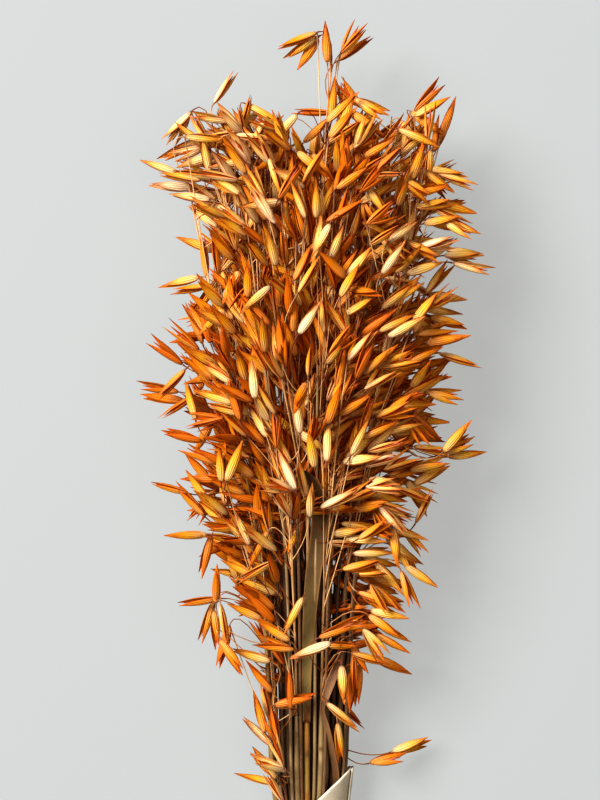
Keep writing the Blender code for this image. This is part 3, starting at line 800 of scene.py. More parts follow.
def spikelet(stems, middle, axis, draw):
    """The rods of one spikelet: its branch with one glume, and the other glume where it stands open.

    The branch is a curve from its root that comes in along the spikelet's axis, taken as two rods.
    """
    length = SPIKELET_LENGTH * draw.uniform(*LENGTH_SHARES)
    base = middle - axis * length / 2
    reach, owner, root = pedicel_root(stems, base, draw)
    bend = 0.25 * root + 0.5 * (base - axis * BRANCH_ARRIVES * reach) + 0.25 * base
    first = np.array([root, bend, base, base + axis * WIDEST_AT * length, base + axis * length])
    radii = [PEDICEL_RADIUS, PEDICEL_RADIUS, BASE_RADIUS, GLUME_RADIUS, TIP_RADIUS]
    first = lifted(first, radii)
    rods = [(first, radii)]
    if draw.random() < OPEN_SHARE:
        side = unit(np.cross(axis, unit(draw.normal(size=3))))
        angle = math.radians(draw.uniform(*OPEN_ANGLES))
        turned = axis * math.cos(angle) + side * math.sin(angle)
        start = first[2] + unit(first[3] - first[2]) * OPEN_FOOT
        second = np.array([start + turned * t * length for t in OPEN_PLACES])
        radii = [OPEN_FOOT_RADIUS, OPEN_SLIM * GLUME_RADIUS, TIP_RADIUS]
        rods.append((lifted(second, radii), radii))
    return reach, owner, rods


# How far a single spikelet moves, mostly in depth, each time that it finds its place taken.
SHIFT = np.array([0.0003, 0.0003, 0.0010])

# Spikelets that stand out of the mass: middle x, y, z, then lean and rise of the tip in degrees.
STANDOUTS = (
    (-0.006, 0.508, 0.060, -113, 8),
    (0.000, 0.501, 0.052, -147, 4),
    (0.011, 0.506, 0.063, -3, 5),
    (0.027, 0.508, 0.058, 45, 6),
    (0.029, 0.504, 0.050, 56, 4),
    (-0.050, 0.479, 0.062, 36, 12),
    (-0.078, 0.456, 0.060, -139, 6),
    (-0.075, 0.445, 0.052, -119, 6),
    (-0.037, 0.463, 0.062, 14, 8),
    (-0.061, 0.438, 0.074, -13, 8),
    (-0.014, 0.453, 0.078, -138, 6),
    (-0.032, 0.445, 0.082, 100, 6),
    (-0.089, 0.432, 0.058, -72, 6),
    (-0.083, 0.420, 0.056, -86, 6),
    (-0.070, 0.413, 0.068, -84, 6),
    (0.018, 0.468, 0.066, 47, 6),
    (0.038, 0.468, 0.062, 113, 6),
    (0.033, 0.459, 0.070, 126, 6),
    (0.005, 0.467, 0.058, -88, 4),
    (0.021, 0.474, 0.056, -8, 4),
    (0.072, 0.474, 0.060, 42, 8),
    (0.074, 0.467, 0.066, 63, 6),
    (0.080, 0.454, 0.056, 27, 6),
    (0.072, 0.457, 0.074, 6, 8),
    (0.082, 0.428, 0.070, 100, 4),
    (0.077, 0.422, 0.078, 126, 4),
    (0.088, 0.407, 0.064, 104, 4),
    (0.085, 0.401, 0.072, 117, 4),
    (0.093, 0.379, 0.062, 88, 4),
    (0.099, 0.373, 0.054, 103, 4),
    (0.076, 0.385, 0.080, 76, 6),
    (0.080, 0.351, 0.066, 59, 6),
    (0.084, 0.339, 0.058, 106, 4),
    (0.083, 0.328, 0.070, 80, 4),
    (0.091, 0.316, 0.060, 108, 4),
    (0.081, 0.296, 0.064, 95, 4),
    (0.089, 0.270, 0.062, 41, 6),
    (0.089, 0.265, 0.054, 60, 4),
    (0.096, 0.259, 0.048, 83, 4),
    (-0.077, 0.363, 0.062, -104, 6),
    (-0.085, 0.321, 0.064, -52, 6),
    (-0.081, 0.302, 0.068, -137, 6),
    (-0.090, 0.299, 0.056, -80, 6),
    (-0.078, 0.288, 0.062, -124, 4),
    (-0.075, 0.270, 0.066, -77, 6),
    (-0.083, 0.239, 0.058, -74, 6),
    (-0.066, 0.240, 0.064, -34, 6),
    (-0.073, 0.211, 0.060, -90, 4),
    (-0.062, 0.198, 0.056, -165, 4),
    (-0.055, 0.181, 0.056, 2, 6),
    (-0.068, 0.169, 0.052, -97, 4),
    (-0.061, 0.160, 0.048, -162, 4),
    (-0.052, 0.158, 0.054, 170, 4),
    (-0.051, 0.143, 0.046, -164, 6),
    (-0.047, 0.137, 0.052, 150, 4),
    (0.070, 0.228, 0.058, 28, 6),
    (0.068, 0.186, 0.052, 123, 6),
    (0.060, 0.178, 0.058, 160, 4),
    (0.052, 0.204, 0.070, 172, 6),
    (0.046, 0.156, 0.060, 124, 6),
    (0.038, 0.145, 0.062, 153, 6),
    (0.054, 0.129, 0.046, 114, 4),
    (0.026, 0.098, 0.011, 135, 2),
    (0.028, 0.118, 0.045, -175, 4),
    (0.015, 0.156, 0.068, 66, 8),
    (0.002, 0.144, 0.066, -110, 4),
    (-0.020, 0.144, 0.066, -84, 4),
    (-0.021, 0.153, 0.057, -57, 6),
    (-0.009, 0.164, 0.070, -150, 4),
    (-0.033, 0.137, 0.052, -72, 4),
    (-0.028, 0.125, 0.052, -39, 8),
    (-0.026, 0.111, 0.050, -9, 10),
    (-0.030, 0.090, 0.042, -46, 6),
    (-0.020, 0.096, 0.048, -6, 10),
    (-0.022, 0.077, 0.044, -62, 8),
    (-0.026, 0.070, 0.034, -36, 6),
    (-0.019, 0.060, 0.050, -30, 10),
    (-0.031, 0.062, 0.038, -75, 4),
    (-0.019, 0.084, 0.054, -20, 8),
    (0.049, 0.072, 0.023, 72, 2),
    (0.064, 0.077, 0.033, 70, 2),
)


def middle_of(draw):
    """A random place in the head: even along its outline's area, and more often near its outside."""
    y = draw.uniform(HEAD_Y[0], HEAD_Y[-1])
    left, right, deep = outline(y)
    if draw.random() > (left + right) * deep / HEAD_AREA:
        return None
    angle = draw.uniform(0, 2 * math.pi)
    out = math.sqrt(draw.uniform(HOLLOW, 1))
    x = out * math.cos(angle) * (right if math.cos(angle) > 0 else left)
    if y > np.interp(x, TOP_X, TOP_Y):
        return None
    if y < FRONT_TOP and abs(x) < FRONT_HALF and math.sin(angle) > 0:
        return None
    z = eased(y, SPREAD_Y, CENTRE_Z) + out * math.sin(angle) * deep
    return np.array([x, y, z])


def grow(stems, filled, count):
    """Places the spikelets one by one, each where it clears what stands, and returns (stem, rods) pairs."""
    placed, middles = [], []

    def take(owner, rods, middle):
        """Keeps a spikelet's rods and its middle, and fills the space that it takes."""
        placed.append((owner, rods))
        middles.append(middle)
        for points, radii in rods:
            filled.add(owner, points, radii)

    for number, (x, y, z, lean, rise) in enumerate(STANDOUTS):
        for attempt in range(MOST_TRIES):
            draw = draws(STANDOUT_DRAWS, number, attempt)
            middle = np.array([x, y, z]) + attempt * SHIFT * draw.normal(size=3)
            _, owner, rods = spikelet(stems, middle, pointing(lean, rise), draw)
            if all(filled.free(owner, points, radii, CLEAR) for points, radii in rods):
                take(owner, rods, middle)
                break
    number = 0
    while len(placed) < count:
        number += 1
        draw = draws(SPIKELET_DRAWS, number)
        middle = middle_of(draw)
        if middle is None:
            continue
        apart = np.linalg.norm(np.array(middles) - middle, axis=1).min()
        if apart < MIDDLES_APART:
            continue
        reach, owner, rods = spikelet(stems, middle, axis_of(middle, draw), draw)
        if reach > LONGEST_BRANCH:
            continue
        if all(filled.free(owner, points, radii, CLEAR) for points, radii in rods):
            take(owner, rods, middle)
    return placed


# What the spikelets keep clear of. The owner of a culm or a leaf is no stem, so no branch touches it.
CULM_STATIONS = (-0.008, 0.008, 0.060, 0.120, 0.200, 0.280, 0.340)
LAST_STATION = 0.03
RACHIS_RODS = 5
CULM, LEAF = 100, 101


def culm_rods(stem):
    """The culm's axis and radii, from its cut foot to its neck."""
    y = np.array([stem.foot, *CULM_STATIONS])
    y = np.append(y[y < stem.neck - LAST_STATION], stem.neck - JOINT_GAP)
    return stem.at(y), culm_radius(y)


def rachis_rods(stem):
    """The rachis's axis and radii, which shrink evenly from the culm's neck to its tip."""
    y = np.linspace(stem.neck, stem.tip, RACHIS_RODS + 1)
    return stem.at(y), np.linspace(RACHIS_RADIUS, PEDICEL_RADIUS, RACHIS_RODS + 1)


def leaf_rods(stations, stem):
    """A leaf's midrib, with radii as large as the leaf's half width."""
    midrib = []
    for x, y, over, half, roll in stations:
        roll = math.radians(roll)
        keel = np.array([math.sin(roll), 0, -math.cos(roll)])
        midrib.append(stem.at(y) + (x, 0, over) + half * (CREASE * keel))
    return np.array(midrib), [half + LEAF_THICK for *_, half, _ in stations]


filled = Filled()
for number, stem in enumerate(stems):
    filled.add(number, *rachis_rods(stem))
    filled.add(CULM, *culm_rods(stem))
filled.add(LEAF, *leaf_rods(BLADE, stems[BLADE_STEM]))
filled.add(LEAF, *leaf_rods(FOLDED, stems[FOLDED_STEM]))
placed = grow(stems, filled, SPIKELETS)


# The solids hold those spikelets, and the rest fill the head between them, in clumps that hang together
# and leave dark gaps between.
MORE_SPIKELETS = 1250
HUSK_OVERLAP = 0.0016
CLUMP = 0.036
CLUMP_TURN = 20
CLUMP_LOOSE, CLUMP_RISE_LOOSE = 23, 14
GAP_BELOW = -0.30
TURN_SHIFT, GAP_SHIFT = 1.0, 3.0
CORE_SHARE, CORE_REACH = 0.16, 0.5
DROOP_SHARE = 0.12
HUSK_ENDS, HUSK_SLIM = np.array([-0.3, 0.4]), 0.7
CROWD_DRAWS, SINGLE_DRAWS = 4, 5

# They leave open the dip in the top edge, and a window at the front over the upper half of the blade.
NOTCH_X, NOTCH_Y, NOTCH_HALF = 0.003, 0.441, 0.009
WINDOW_X, WINDOW_Y, WINDOW_BACK = (-0.002, 0.010), (0.172, 0.219), 0.015


def clump(middle, shift):
    """A smooth wave through the head, between -1 and 1, with a crest about every CLUMP metres.

    It is the product of a wave across, one along and one in depth, of which the first two bend each other.
    """
    x, y, z = 2 * math.pi * middle / CLUMP + shift
    across = math.sin(x + 0.8 * math.sin(0.5 * y))
    along = math.sin(0.6 * y + 0.9 * math.sin(0.7 * x))
    return across * along * math.cos(0.3 * z)


def loose_axis(middle, draw):
    """Which way one of these points: as its clump does, and now and then down."""
    lean, rise = lean_at(middle)
    lean += CLUMP_TURN * clump(middle, TURN_SHIFT) + draw.normal(0, CLUMP_LOOSE)
    axis = pointing(lean, rise + draw.normal(0, CLUMP_RISE_LOOSE))
    return axis * (1, -1, 1) if draw.random() < DROOP_SHARE else axis


def hides_blade(middle, reach):
    """Whether any of five points along a spikelet's reach lies over the window, seen from above."""
    x, y = (middle + np.linspace(-0.5, 0.5, 5)[:, None] * reach)[:, :2].T
    over = (x > WINDOW_X[0]) & (x < WINDOW_X[1]) & (y > WINDOW_Y[0]) & (y < WINDOW_Y[1])
    return middle[2] > WINDOW_BACK and over.any()


def crowd(stems, placed, count):
    """More spikelets, each where its husk clears every husk that stands, but for a little overlap."""
    husks = Filled()
    for _, rods in placed:
        for points, radii in rods:
            husks.add(0, points[-2:], radii[-2:])
    more = []
    number = 0
    while len(more) < count:
        number += 1
        draw = draws(CROWD_DRAWS, number)
        middle = middle_of(draw)
        if middle is None:
            continue
        centre = np.array([0, middle[1], eased(middle[1], SPREAD_Y, CENTRE_Z)])
        if draw.random() < CORE_SHARE:
            middle = centre + (middle - centre) * draw.uniform(0, CORE_REACH)
        elif clump(middle, GAP_SHIFT) < GAP_BELOW and middle[2] > centre[2]:
            continue
        axis = loose_axis(middle, draw)
        reach = axis * SPIKELET_LENGTH
        tip = middle + 0.5 * reach
        if tip[1] > NOTCH_Y and abs(tip[0] - NOTCH_X) < NOTCH_HALF:
            continue
        if hides_blade(middle, reach):
            continue
        husk = middle + HUSK_ENDS[:, None] * reach
        radii = (HUSK_SLIM * GLUME_RADIUS, HUSK_SLIM * GLUME_RADIUS)
        # No husk has the owner -1, so it is set against them all.
        if not husks.free(-1, husk, radii, -HUSK_OVERLAP):
            continue
        reach, owner, rods = spikelet(stems, middle, axis, draw)
        if reach < LONGEST_BRANCH:
            more.append((owner, rods))
            husks.add(0, husk, radii)
    return more


# More single ones at the head's edges and over the stems: middle x, y, z, then lean and rise in degrees.
MORE_SINGLES = (
    (-0.004, 0.504, 0.056, -125, 4),
    (0.015, 0.472, 0.060, 5, 6),
    (0.051, 0.451, 0.070, 40, 6),
    (-0.072, 0.442, 0.064, -98, 4),
    (-0.076, 0.425, 0.066, -82, 4),
    (0.088, 0.423, 0.070, 112, 4),
    (0.090, 0.396, 0.070, 110, 4),
    (0.094, 0.381, 0.056, 98, 4),
    (-0.062, 0.378, 0.060, -5, 6),
    (-0.067, 0.386, 0.052, -70, 4),
    (-0.070, 0.359, 0.056, -100, 4),
    (-0.075, 0.330, 0.060, -50, 6),
    (-0.087, 0.293, 0.060, -84, 4),
    (0.072, 0.253, 0.064, 75, 6),
    (0.060, 0.212, 0.062, 110, 6),
    (0.056, 0.202, 0.056, 130, 6),
    (-0.056, 0.153, 0.044, 175, 4),
    (-0.038, 0.164, 0.050, -65, 6),
    (0.049, 0.163, 0.054, 100, 6),
    (0.051, 0.145, 0.050, 118, 6),
    (0.037, 0.136, 0.054, 108, 4),
    (0.030, 0.137, 0.050, 150, 4),
    (0.021, 0.101, 0.052, 130, 2),
    (0.021, 0.121, 0.056, 176, 4),
    (0.019, 0.084, 0.040, 175, 0),
    (-0.011, 0.118, 0.056, -4, 4),
    (-0.008, 0.111, 0.054, 75, 4),
    (0.063, 0.208, 0.056, 140, 4),
    (0.058, 0.196, 0.050, 150, 4),
    (0.066, 0.233, 0.050, 150, 4),
    (0.075, 0.262, 0.058, 100, 4),
    (0.074, 0.247, 0.050, 60, 4),
    (0.052, 0.151, 0.046, 116, 4),
    (0.028, 0.128, 0.050, 178, 2),
    (0.026, 0.116, 0.046, -176, 2),
    (-0.071, 0.232, 0.058, -42, 4),
    (-0.029, 0.103, 0.050, -15, 4),
    (-0.059, 0.461, 0.060, -80, 4),
    (-0.026, 0.463, 0.062, 120, 4),
    (0.025, 0.476, 0.060, -40, 4),
    (0.084, 0.461, 0.060, 20, 4),
    (-0.060, 0.405, 0.074, -60, 10),
    (-0.046, 0.432, 0.080, -100, 8),
    (-0.060, 0.447, 0.078, 95, 6),
    (0.004, 0.226, 0.078, 95, 2),
    (0.000, 0.229, 0.081, 68, 4),
)

for number, (x, y, z, lean, rise) in enumerate(MORE_SINGLES):
    axis = pointing(lean, rise)
    placed.append(spikelet(stems, np.array([x, y, z]), axis, draws(SINGLE_DRAWS, number))[1:])
placed += crowd(stems, placed, MORE_SPIKELETS)


# The parts of a panicle, which its attribute kind tells apart.
GLUME, FLORET, BRANCH, RACHIS = 0.0, 1.0, 2.0, 3.0

# A glume's ring runs over its back in four steps and back inside it in four. Its width along it is
# t^a (1 - t)^b, made 1 at its widest.
GLUME_ALONG = np.array([0.012, 0.06, 0.16, 0.33, 0.52, 0.70, 0.86, 1.04])
GLUME_TURN = np.radians([0, 45, 90, 135, 180, 135, 90, 45])
GLUME_INSIDE = np.array([0, 0, 0, 0, 0, 1, 1, 1])
SWELL_RISE, SWELL_FALL = 0.50, 0.84
GLUME_DEPTH = 0.66
GLUME_BOW = 0.02
FINEST = 0.012
INSIDE_WIDTH, INSIDE_DEPTH = 0.84, 0.50


def swell(t):
    """A husk's width at share t of its length: quick to its widest, then slowly to a fine tip."""
    widest = SWELL_RISE / (SWELL_RISE + SWELL_FALL)
    most = widest**SWELL_RISE * (1 - widest) ** SWELL_FALL
    return t**SWELL_RISE * np.clip(1 - t, FINEST, 1) ** SWELL_FALL / most


def glumes(heap, base, ahead, back, length, width, splay, tint):
    """Boats whose keels run ahead from their bases, bowed out on their back and turned from each other.

    A boat's spine is base + t length ahead + (GLUME_BOW sin(pi t) + splay t^2) length back.
    """
    t = GLUME_ALONG[:, None]
    across = np.cross(back, ahead)
    out = GLUME_BOW * np.sin(math.pi * t) + splay[:, None, None] * t**2
    spine = base[:, None] + length[:, None, None] * (t * ahead[:, None] + out * back[:, None])
    half = (width[:, None] * swell(GLUME_ALONG))[:, :, None, None]
    wide = np.cos(GLUME_TURN) * np.where(GLUME_INSIDE, INSIDE_WIDTH, 1)
    deep = np.sin(GLUME_TURN) * np.where(GLUME_INSIDE, INSIDE_DEPTH, 1) * GLUME_DEPTH
    rings = wide[:, None] * across[:, None, None] + deep[:, None] * back[:, None, None]
    heap.add(spine[:, :, None] + half * rings, looks(t, wide, tint[:, None, None]), GLUME)


FLORET_RADIUS = 0.0011
FLORET_ALONG = np.array([0.02, 0.2, 0.42, 0.7, 0.97])[:, None]
FLORET_SIDES = 5


def floret(heap, base, tip, tint):
    """A slender floret inside the glumes: a spindle from base to tip, of the same swell."""
    t = FLORET_ALONG
    path = base[:, None] + t * (tip - base)[:, None]
    look = looks(t, 0, tint[:, None, None])
    heap.add_round(path, FLORET_RADIUS * swell(t[:, 0]), FLORET_SIDES, look, FLORET)


BRANCH_ALONG = np.array([0.0, 0.2, 0.4, 0.6, 0.8, 0.94, 1.0])[:, None]
BRANCH_PLACES = (0, 0.3, 0.9, 1)
BRANCH_RADII = (0.00045, 0.00030, 0.00030, 0.00055)
BRANCH_SIDES = 4


def branches(heap, root, bend, base, tint):
    """Hair-fine branches: an arc of three points, thinning to the middle and flared under the husk.

    The arc is the parabola through root, bend and base.
    """
    t = BRANCH_ALONG
    arc = [(1 - t) * (1 - 2 * t), 4 * t * (1 - t), t * (2 * t - 1)]
    path = sum(weight * point[:, None] for weight, point in zip(arc, (root, bend, base)))
    radius = np.interp(t[:, 0], BRANCH_PLACES, BRANCH_RADII)
    heap.add_round(path, radius, BRANCH_SIDES, looks(t, 0, tint[:, None, None]), BRANCH)


# Patches of paler and darker husks, partly their own colour and partly painted light and shade over the
# head: how much paler, around which point, how far.
PALE_AND_SHADE_PATCHES = (
    (0.55, (-0.070, 0.425, 0.06), 0.054),
    (-0.25, (-0.055, 0.300, 0.06), 0.045),
    (0.42, (0.068, 0.370, 0.06), 0.042),
    (-0.28, (0.016, 0.400, 0.08), 0.032),
    (-0.28, (0.016, 0.335, 0.08), 0.032),
    (0.22, (0.045, 0.215, 0.06), 0.045),
    (-0.18, (-0.035, 0.230, 0.06), 0.040),
    (-0.25, (0.000, 0.135, 0.05), 0.040),
)


def paled_and_shaded(place):
    """How much paler the husks at a place are, partly their own colour and partly painted light and shade: a
    sum of bell curves.
    """
    return sum(paler * np.exp(-(((place - point) / reach) ** 2).sum(-1)) for paler, point, reach in PALE_AND_SHADE_PATCHES)


RACHIS_SIDES, RACHIS_RINGS = 7, 40
RACHIS_END = 0.7
SHADED = 0.45
WIDTHS = (0.88, 1.12)
LEAST_SPLAY, MORE_SPLAY = 0.015, 0.13
SPLAY_CURVE, SPLAY_SHARES = 1.6, (0.7, 1.3)
LONG_SHARE = 0.30
LONG_DROP = (0.045, 0.100)
LONG_LEAST, LONG_STEEP = 0.04, 2.5
LONG_BOW = 0.005
LONG_TINTS = (0.75, 1.0)
SECOND_LENGTHS, SECOND_WIDTH, SECOND_PALER = (0.86, 0.98), 0.95, 0.08
THIRD_WIDTH = 0.85
FLORET_LENGTH, INNER_LENGTH = 0.90, 0.80
PANICLE_DRAWS = 12


def grow_panicle(number, stem):
    """One panicle: its rachis, then the branches, glumes and florets of all its spikelets."""
    heap = Heap()
    draw = draws(PANICLE_DRAWS, number)
    path = stem.at(np.linspace(stem.neck, stem.tip, RACHIS_RINGS))[None]
    radius = np.linspace(RACHIS_RADIUS, RACHIS_END * PEDICEL_RADIUS, RACHIS_RINGS)
    along = np.linspace(0, 1, RACHIS_RINGS)[:, None]
    heap.add_round(path, radius, RACHIS_SIDES, looks(along, 0, 0), RACHIS)
    own = [rods for owner, rods in placed if owner == number]
    if own:
        root, bend, base, _, tip = np.array([rods[0][0] for rods in own]).swapaxes(0, 1)
        count = len(own)
        length = np.linalg.norm(tip - base, axis=1)
        ahead = (tip - base) / length[:, None]
        # A spikelet's glumes back onto opposite sides, of which one is where an open one's rod turns.
        opened = np.array([len(rods) > 1 for rods in own])
        turned = np.array([rods[-1][0][-1] - rods[-1][0][0] for rods in own])
        loose = draw.normal(size=(count, 3))
        side = np.where(opened[:, None], turned, loose)
        side = normal(side - (side * ahead).sum(1, keepdims=True) * ahead)
        # Spikelets deep in the head are set lower on the ramp, darker and redder, as painted shade inside
        # the head.
        deep = abs(base[:, 2] - eased(base[:, 1], SPREAD_Y, CENTRE_Z))
        outer = np.clip(deep / outline(base[:, 1])[2], 0, 1)
        # The patches then add their paler husks, and painted light and shade, on top of that.
        tint = draw.random(count) * (SHADED + (1 - SHADED) * outer) + paled_and_shaded(base)
        width = GLUME_RADIUS * draw.uniform(*WIDTHS, count)
        splay = draw.random(count) ** SPLAY_CURVE * draw.uniform(*SPLAY_SHARES, (2, count))
        splay = LEAST_SPLAY + MORE_SPLAY * splay
        branches(heap, root, bend, base, draw.random(count))
        # Some have a second, long branch that leaves the rachis lower down and bows up.
        drop = draw.uniform(*LONG_DROP, count)
        root = stem.at(np.clip(base[:, 1] - drop, stem.neck + NECK_CLEAR, stem.tip))
        reach = base - root
        steep = reach[:, 1] > np.maximum(LONG_LEAST, LONG_STEEP * abs(reach[:, 0]))
        long = (draw.random(count) < LONG_SHARE) & steep
        bend = (root + base) / 2 + (0, 0, LONG_BOW)
        branches(heap, root[long], bend[long], base[long], draw.uniform(*LONG_TINTS, long.sum()))
        glumes(heap, base, ahead, side, length, width, splay[0], tint)
        shorter = length * draw.uniform(*SECOND_LENGTHS, count)
        glumes(heap, base, ahead, -side, shorter, SECOND_WIDTH * width, splay[1], tint + SECOND_PALER)
        floret(heap, base, base + ahead * (FLORET_LENGTH * length)[:, None], tint)
    if own and opened.any():
        # An open spikelet has a third glume, turned out, and a floret between it and the others.
        ends = np.array([(rods[1][0][0], rods[1][0][-1]) for rods in own if len(rods) > 1])
        foot, end = ends.swapaxes(0, 1)
        reach = end - foot
        length = np.linalg.norm(reach, axis=1)
        side, tint, width = side[opened], tint[opened], THIRD_WIDTH * width[opened]
        back = side - (side * reach).sum(1, keepdims=True) * reach / length[:, None] ** 2
        glumes(heap, foot, reach / length[:, None], normal(back), length, width, 0 * length, tint)
        floret(heap, foot, foot + 0.5 * (reach + (tip - base)[opened] * INNER_LENGTH), tint)
    heap.piece(f"oat_panicle_{number + 1:02d}", husk, "dyed_oat", f"panicle_{number + 1:02d}")


HUSK_RIBS = 15.0


def husk_finish():
    """Dyed glumes: gold to rust, redder to the tips and edges, ribbed, dark at their feet, round a floret
    darkened partly as painted shade, and with a faint painted red glow.
    """
    finish = Finish("dyed_oat", 0.45)
    along, across, tint, kind = finish.look()
    patches = finish.noise(3.0, 170, 170, 170)
    body = finish.ramp(
        tint + 0.25 * (patches - 0.5),
        (0.00, (0.50, 0.135, 0.001)),
        (0.22, (0.66, 0.250, 0.002)),
        (0.50, (0.69, 0.400, 0.034)),
        (0.75, (0.75, 0.530, 0.165)),
        (1.00, (0.84, 0.650, 0.400)),
    )
    edge = abs(across)
    ribs = (across * HUSK_RIBS).cosine()
    tip = finish.step(along + 0.15 * edge, 0.58, 1.05)
    pale = finish.step(along + 0.2 * (patches - 0.5), 0.62, 0.10) * (0.06 + 0.70 * tint)
    colour = finish.mix(pale, body, (0.77, 0.620, 0.440))
    colour = finish.mix(tip * 0.75, colour, (0.52, 0.105, 0.002))
    colour = finish.mix(finish.step(edge, 0.72, 1.0) * 0.60, colour, (0.48, 0.095, 0.003))
    colour = finish.mix(finish.step(ribs, 0.3, 1.0) * 0.50, colour, (0.44, 0.125, 0.006))
    colour = finish.mix(finish.step(along, 0.10, 0.0) * 0.6, colour, (0.16, 0.045, 0.020))
    # The floret is darker than the glumes and darkest at its tip, partly its own colour and partly painted
    # shade between the glumes.
    inside = finish.mix(along, (0.52, 0.130, 0.004), (0.26, 0.040, 0.003))
    stalk = finish.ramp(
        tint,
        (0.00, (0.17, 0.045, 0.012)),
        (0.60, (0.38, 0.130, 0.030)),
        (0.85, (0.66, 0.430, 0.210)),
    )
    stalk = finish.mix(finish.step(along, 0.70, 1.0) * 0.75, stalk, (0.10, 0.030, 0.030))
    colour = finish.mix(finish.step(kind, FLORET - 0.6, FLORET - 0.4), colour, inside)
    colour = finish.mix(finish.step(kind, BRANCH - 0.6, BRANCH - 0.4), colour, stalk)
    rachis = finish.ramp(
        along + 0.3 * (patches - 0.5),
        (0.00, (0.17, 0.105, 0.045)),
        (0.25, (0.34, 0.200, 0.090)),
        (0.60, (0.62, 0.400, 0.220)),
        (1.00, (0.58, 0.250, 0.070)),
    )
    colour = finish.mix(finish.step(kind, RACHIS - 0.6, RACHIS - 0.4), colour, rachis)
    finish.feed(finish.shader, {"Base Color": colour, "Roughness": 0.44 + 0.25 * patches})
    finish.bump(ribs * finish.step(kind, GLUME + 0.6, GLUME + 0.4), 0.00012)
    # A faint red glow is painted on the husks, in place of light that has come through them, so that they
    # look redder in the shade.
    finish.feed(finish.shader, {"Emission Color": (1.0, 0.10, 0.0), "Emission Strength": 0.010})
    finish.feed(finish.shader, {"Coat Weight": 0.10, "Coat Roughness": 0.35, "Specular IOR Level": 0.25})
    return finish


husk = husk_finish()
for number, stem in enumerate(stems):
    grow_panicle(number, stem)


# The wrap: one sheet of cream paper rolled round the stems and lapped at the right. Its top is cut at a
# slant that rises on the lapped side, and the tie gathers it into small pleats at the waist.
PAPER_THICK = 0.0008
PAPER_TOP_Y = 0.042
PAPER_TOP_RISE = 0.024
PAPER_Y = (-0.062, -0.036, -0.017, -0.008, 0.008, 0.022, 0.066)
PAPER_HALF_WIDTH = (0.0235, 0.0225, 0.0210, 0.0194, 0.0194, 0.0215, 0.0265)
PAPER_HALF_DEPTH = (0.0165, 0.0160, 0.0152, 0.0129, 0.0129, 0.0158, 0.0200)
PAPER_LAP = 0.0014
PAPER_SUNK = 0.0016
WAIST_REACH = (0.008, 0.017)
TWINE_RADIUS = 0.0010
TWINE_CLEAR = 0.0004


def paper_section(y):
    """The middle of the paper at y: its half width, half depth, centre's height and lowest height.

    At the waist, the twine under it keeps it off the floor. Past that, its underside is pressed flat.
    """
    wide = np.interp(y, PAPER_Y, PAPER_HALF_WIDTH)
    deep = np.interp(y, PAPER_Y, PAPER_HALF_DEPTH)
    room = 2 * TWINE_RADIUS + TWINE_CLEAR
    floor = PAPER_THICK / 2 + room * np.interp(abs(y), WAIST_REACH, (1, 0))
    sunk = PAPER_SUNK * np.interp(abs(y), WAIST_REACH, (0, 1))
    return wide, deep, floor + deep - sunk, floor


PAPER_ROWS, PAPER_COLUMNS = 64, 160
PAPER_TURN = (-25, 375)
LAP_FROM, LAP_RISE = 285, 50
PLEATS = 19
PLEAT_HEIGHT = 0.0009
PLEAT_DRIFT = 0.8
PLEATS_ALONG = (0.004, 0.012, 0.045)
CRUMPLE = 0.0006
CRUMPLES_ALONG = (0.010, 0.030)

# The crumples' waves: how many go round the wrap, their turn along it in radians a metre, and their start.
CRUMPLE_WAVES = ((3, 190, 0.3), (-5, 260, 1.1), (7, -330, 2.0), (-11, 420, 4.0))


def paper_points():
    """The sheet: an ellipse carried along the bundle, with pleats and soft crumples that stand out of it.

    A pleat is a bump of cos^4 of half its turn, highest just beyond the tie and gone at the ends. The
    crumples are four crossing waves. Both only add to the radius, so the paper clears the stems.
    """
    turn = np.radians(np.linspace(*PAPER_TURN, PAPER_COLUMNS))[None, :]
    top = PAPER_TOP_Y + PAPER_TOP_RISE * np.cos(turn)
    share = np.linspace(0, 1, PAPER_ROWS)[:, None]
    y = PAPER_Y[0] + (top - PAPER_Y[0]) * share
    wide, deep, centre, floor = paper_section(y)
    lap = PAPER_LAP * np.clip((np.degrees(turn) - LAP_FROM) / LAP_RISE, 0, 1)
    shape = 0.5 + 0.5 * np.cos(PLEATS * turn + PLEAT_DRIFT * np.sin(3 * turn))
    near = np.interp(abs(y), PLEATS_ALONG, (0.15, 1.0, 0.0))
    waves = sum(np.sin(a * turn + b * y + c) for a, b, c in CRUMPLE_WAVES)
    loose = np.interp(abs(y), CRUMPLES_ALONG, (0.0, 1.0))
    out = lap + PLEAT_HEIGHT * shape**2 * near + CRUMPLE * (0.5 + waves / 8) * loose
    x = (wide + out) * np.cos(turn)
    z = np.maximum(centre + (deep + out) * np.sin(turn), floor)
    return np.stack([x, y, z], -1), share, turn


def paper_finish():
    """Matt cream paper: a little cloudy, flecked with brown fibres of its pulp, and pale at its edges."""
    finish = Finish("paper", 0.8)
    along, _, _, _ = finish.look()
    pulp = finish.noise(4.0, 900, 900, 900)
    cloud = finish.noise(3.0, 60, 60, 60)
    colour = finish.mix(finish.step(cloud, 0.35, 0.7), (0.56, 0.495, 0.385), (0.66, 0.595, 0.480))
    colour = finish.mix(finish.step(pulp, 0.58, 0.72) * 0.45, colour, (0.38, 0.275, 0.165))
    colour = finish.mix(finish.step(abs(along - 0.5), 0.485, 0.5) * 0.6, colour, (0.76, 0.70, 0.58))
    finish.feed(finish.shader, {"Base Color": colour, "Roughness": 0.72 + 0.2 * pulp})
    finish.bump(pulp + 2.5 * cloud, 0.00015)
    return finish


points, share, turn = paper_points()
wrap = sheet("cream_wrap", points, looks(share, turn, 0), paper_finish(), "paper", "paper_wrap")
thickened(wrap, PAPER_THICK)


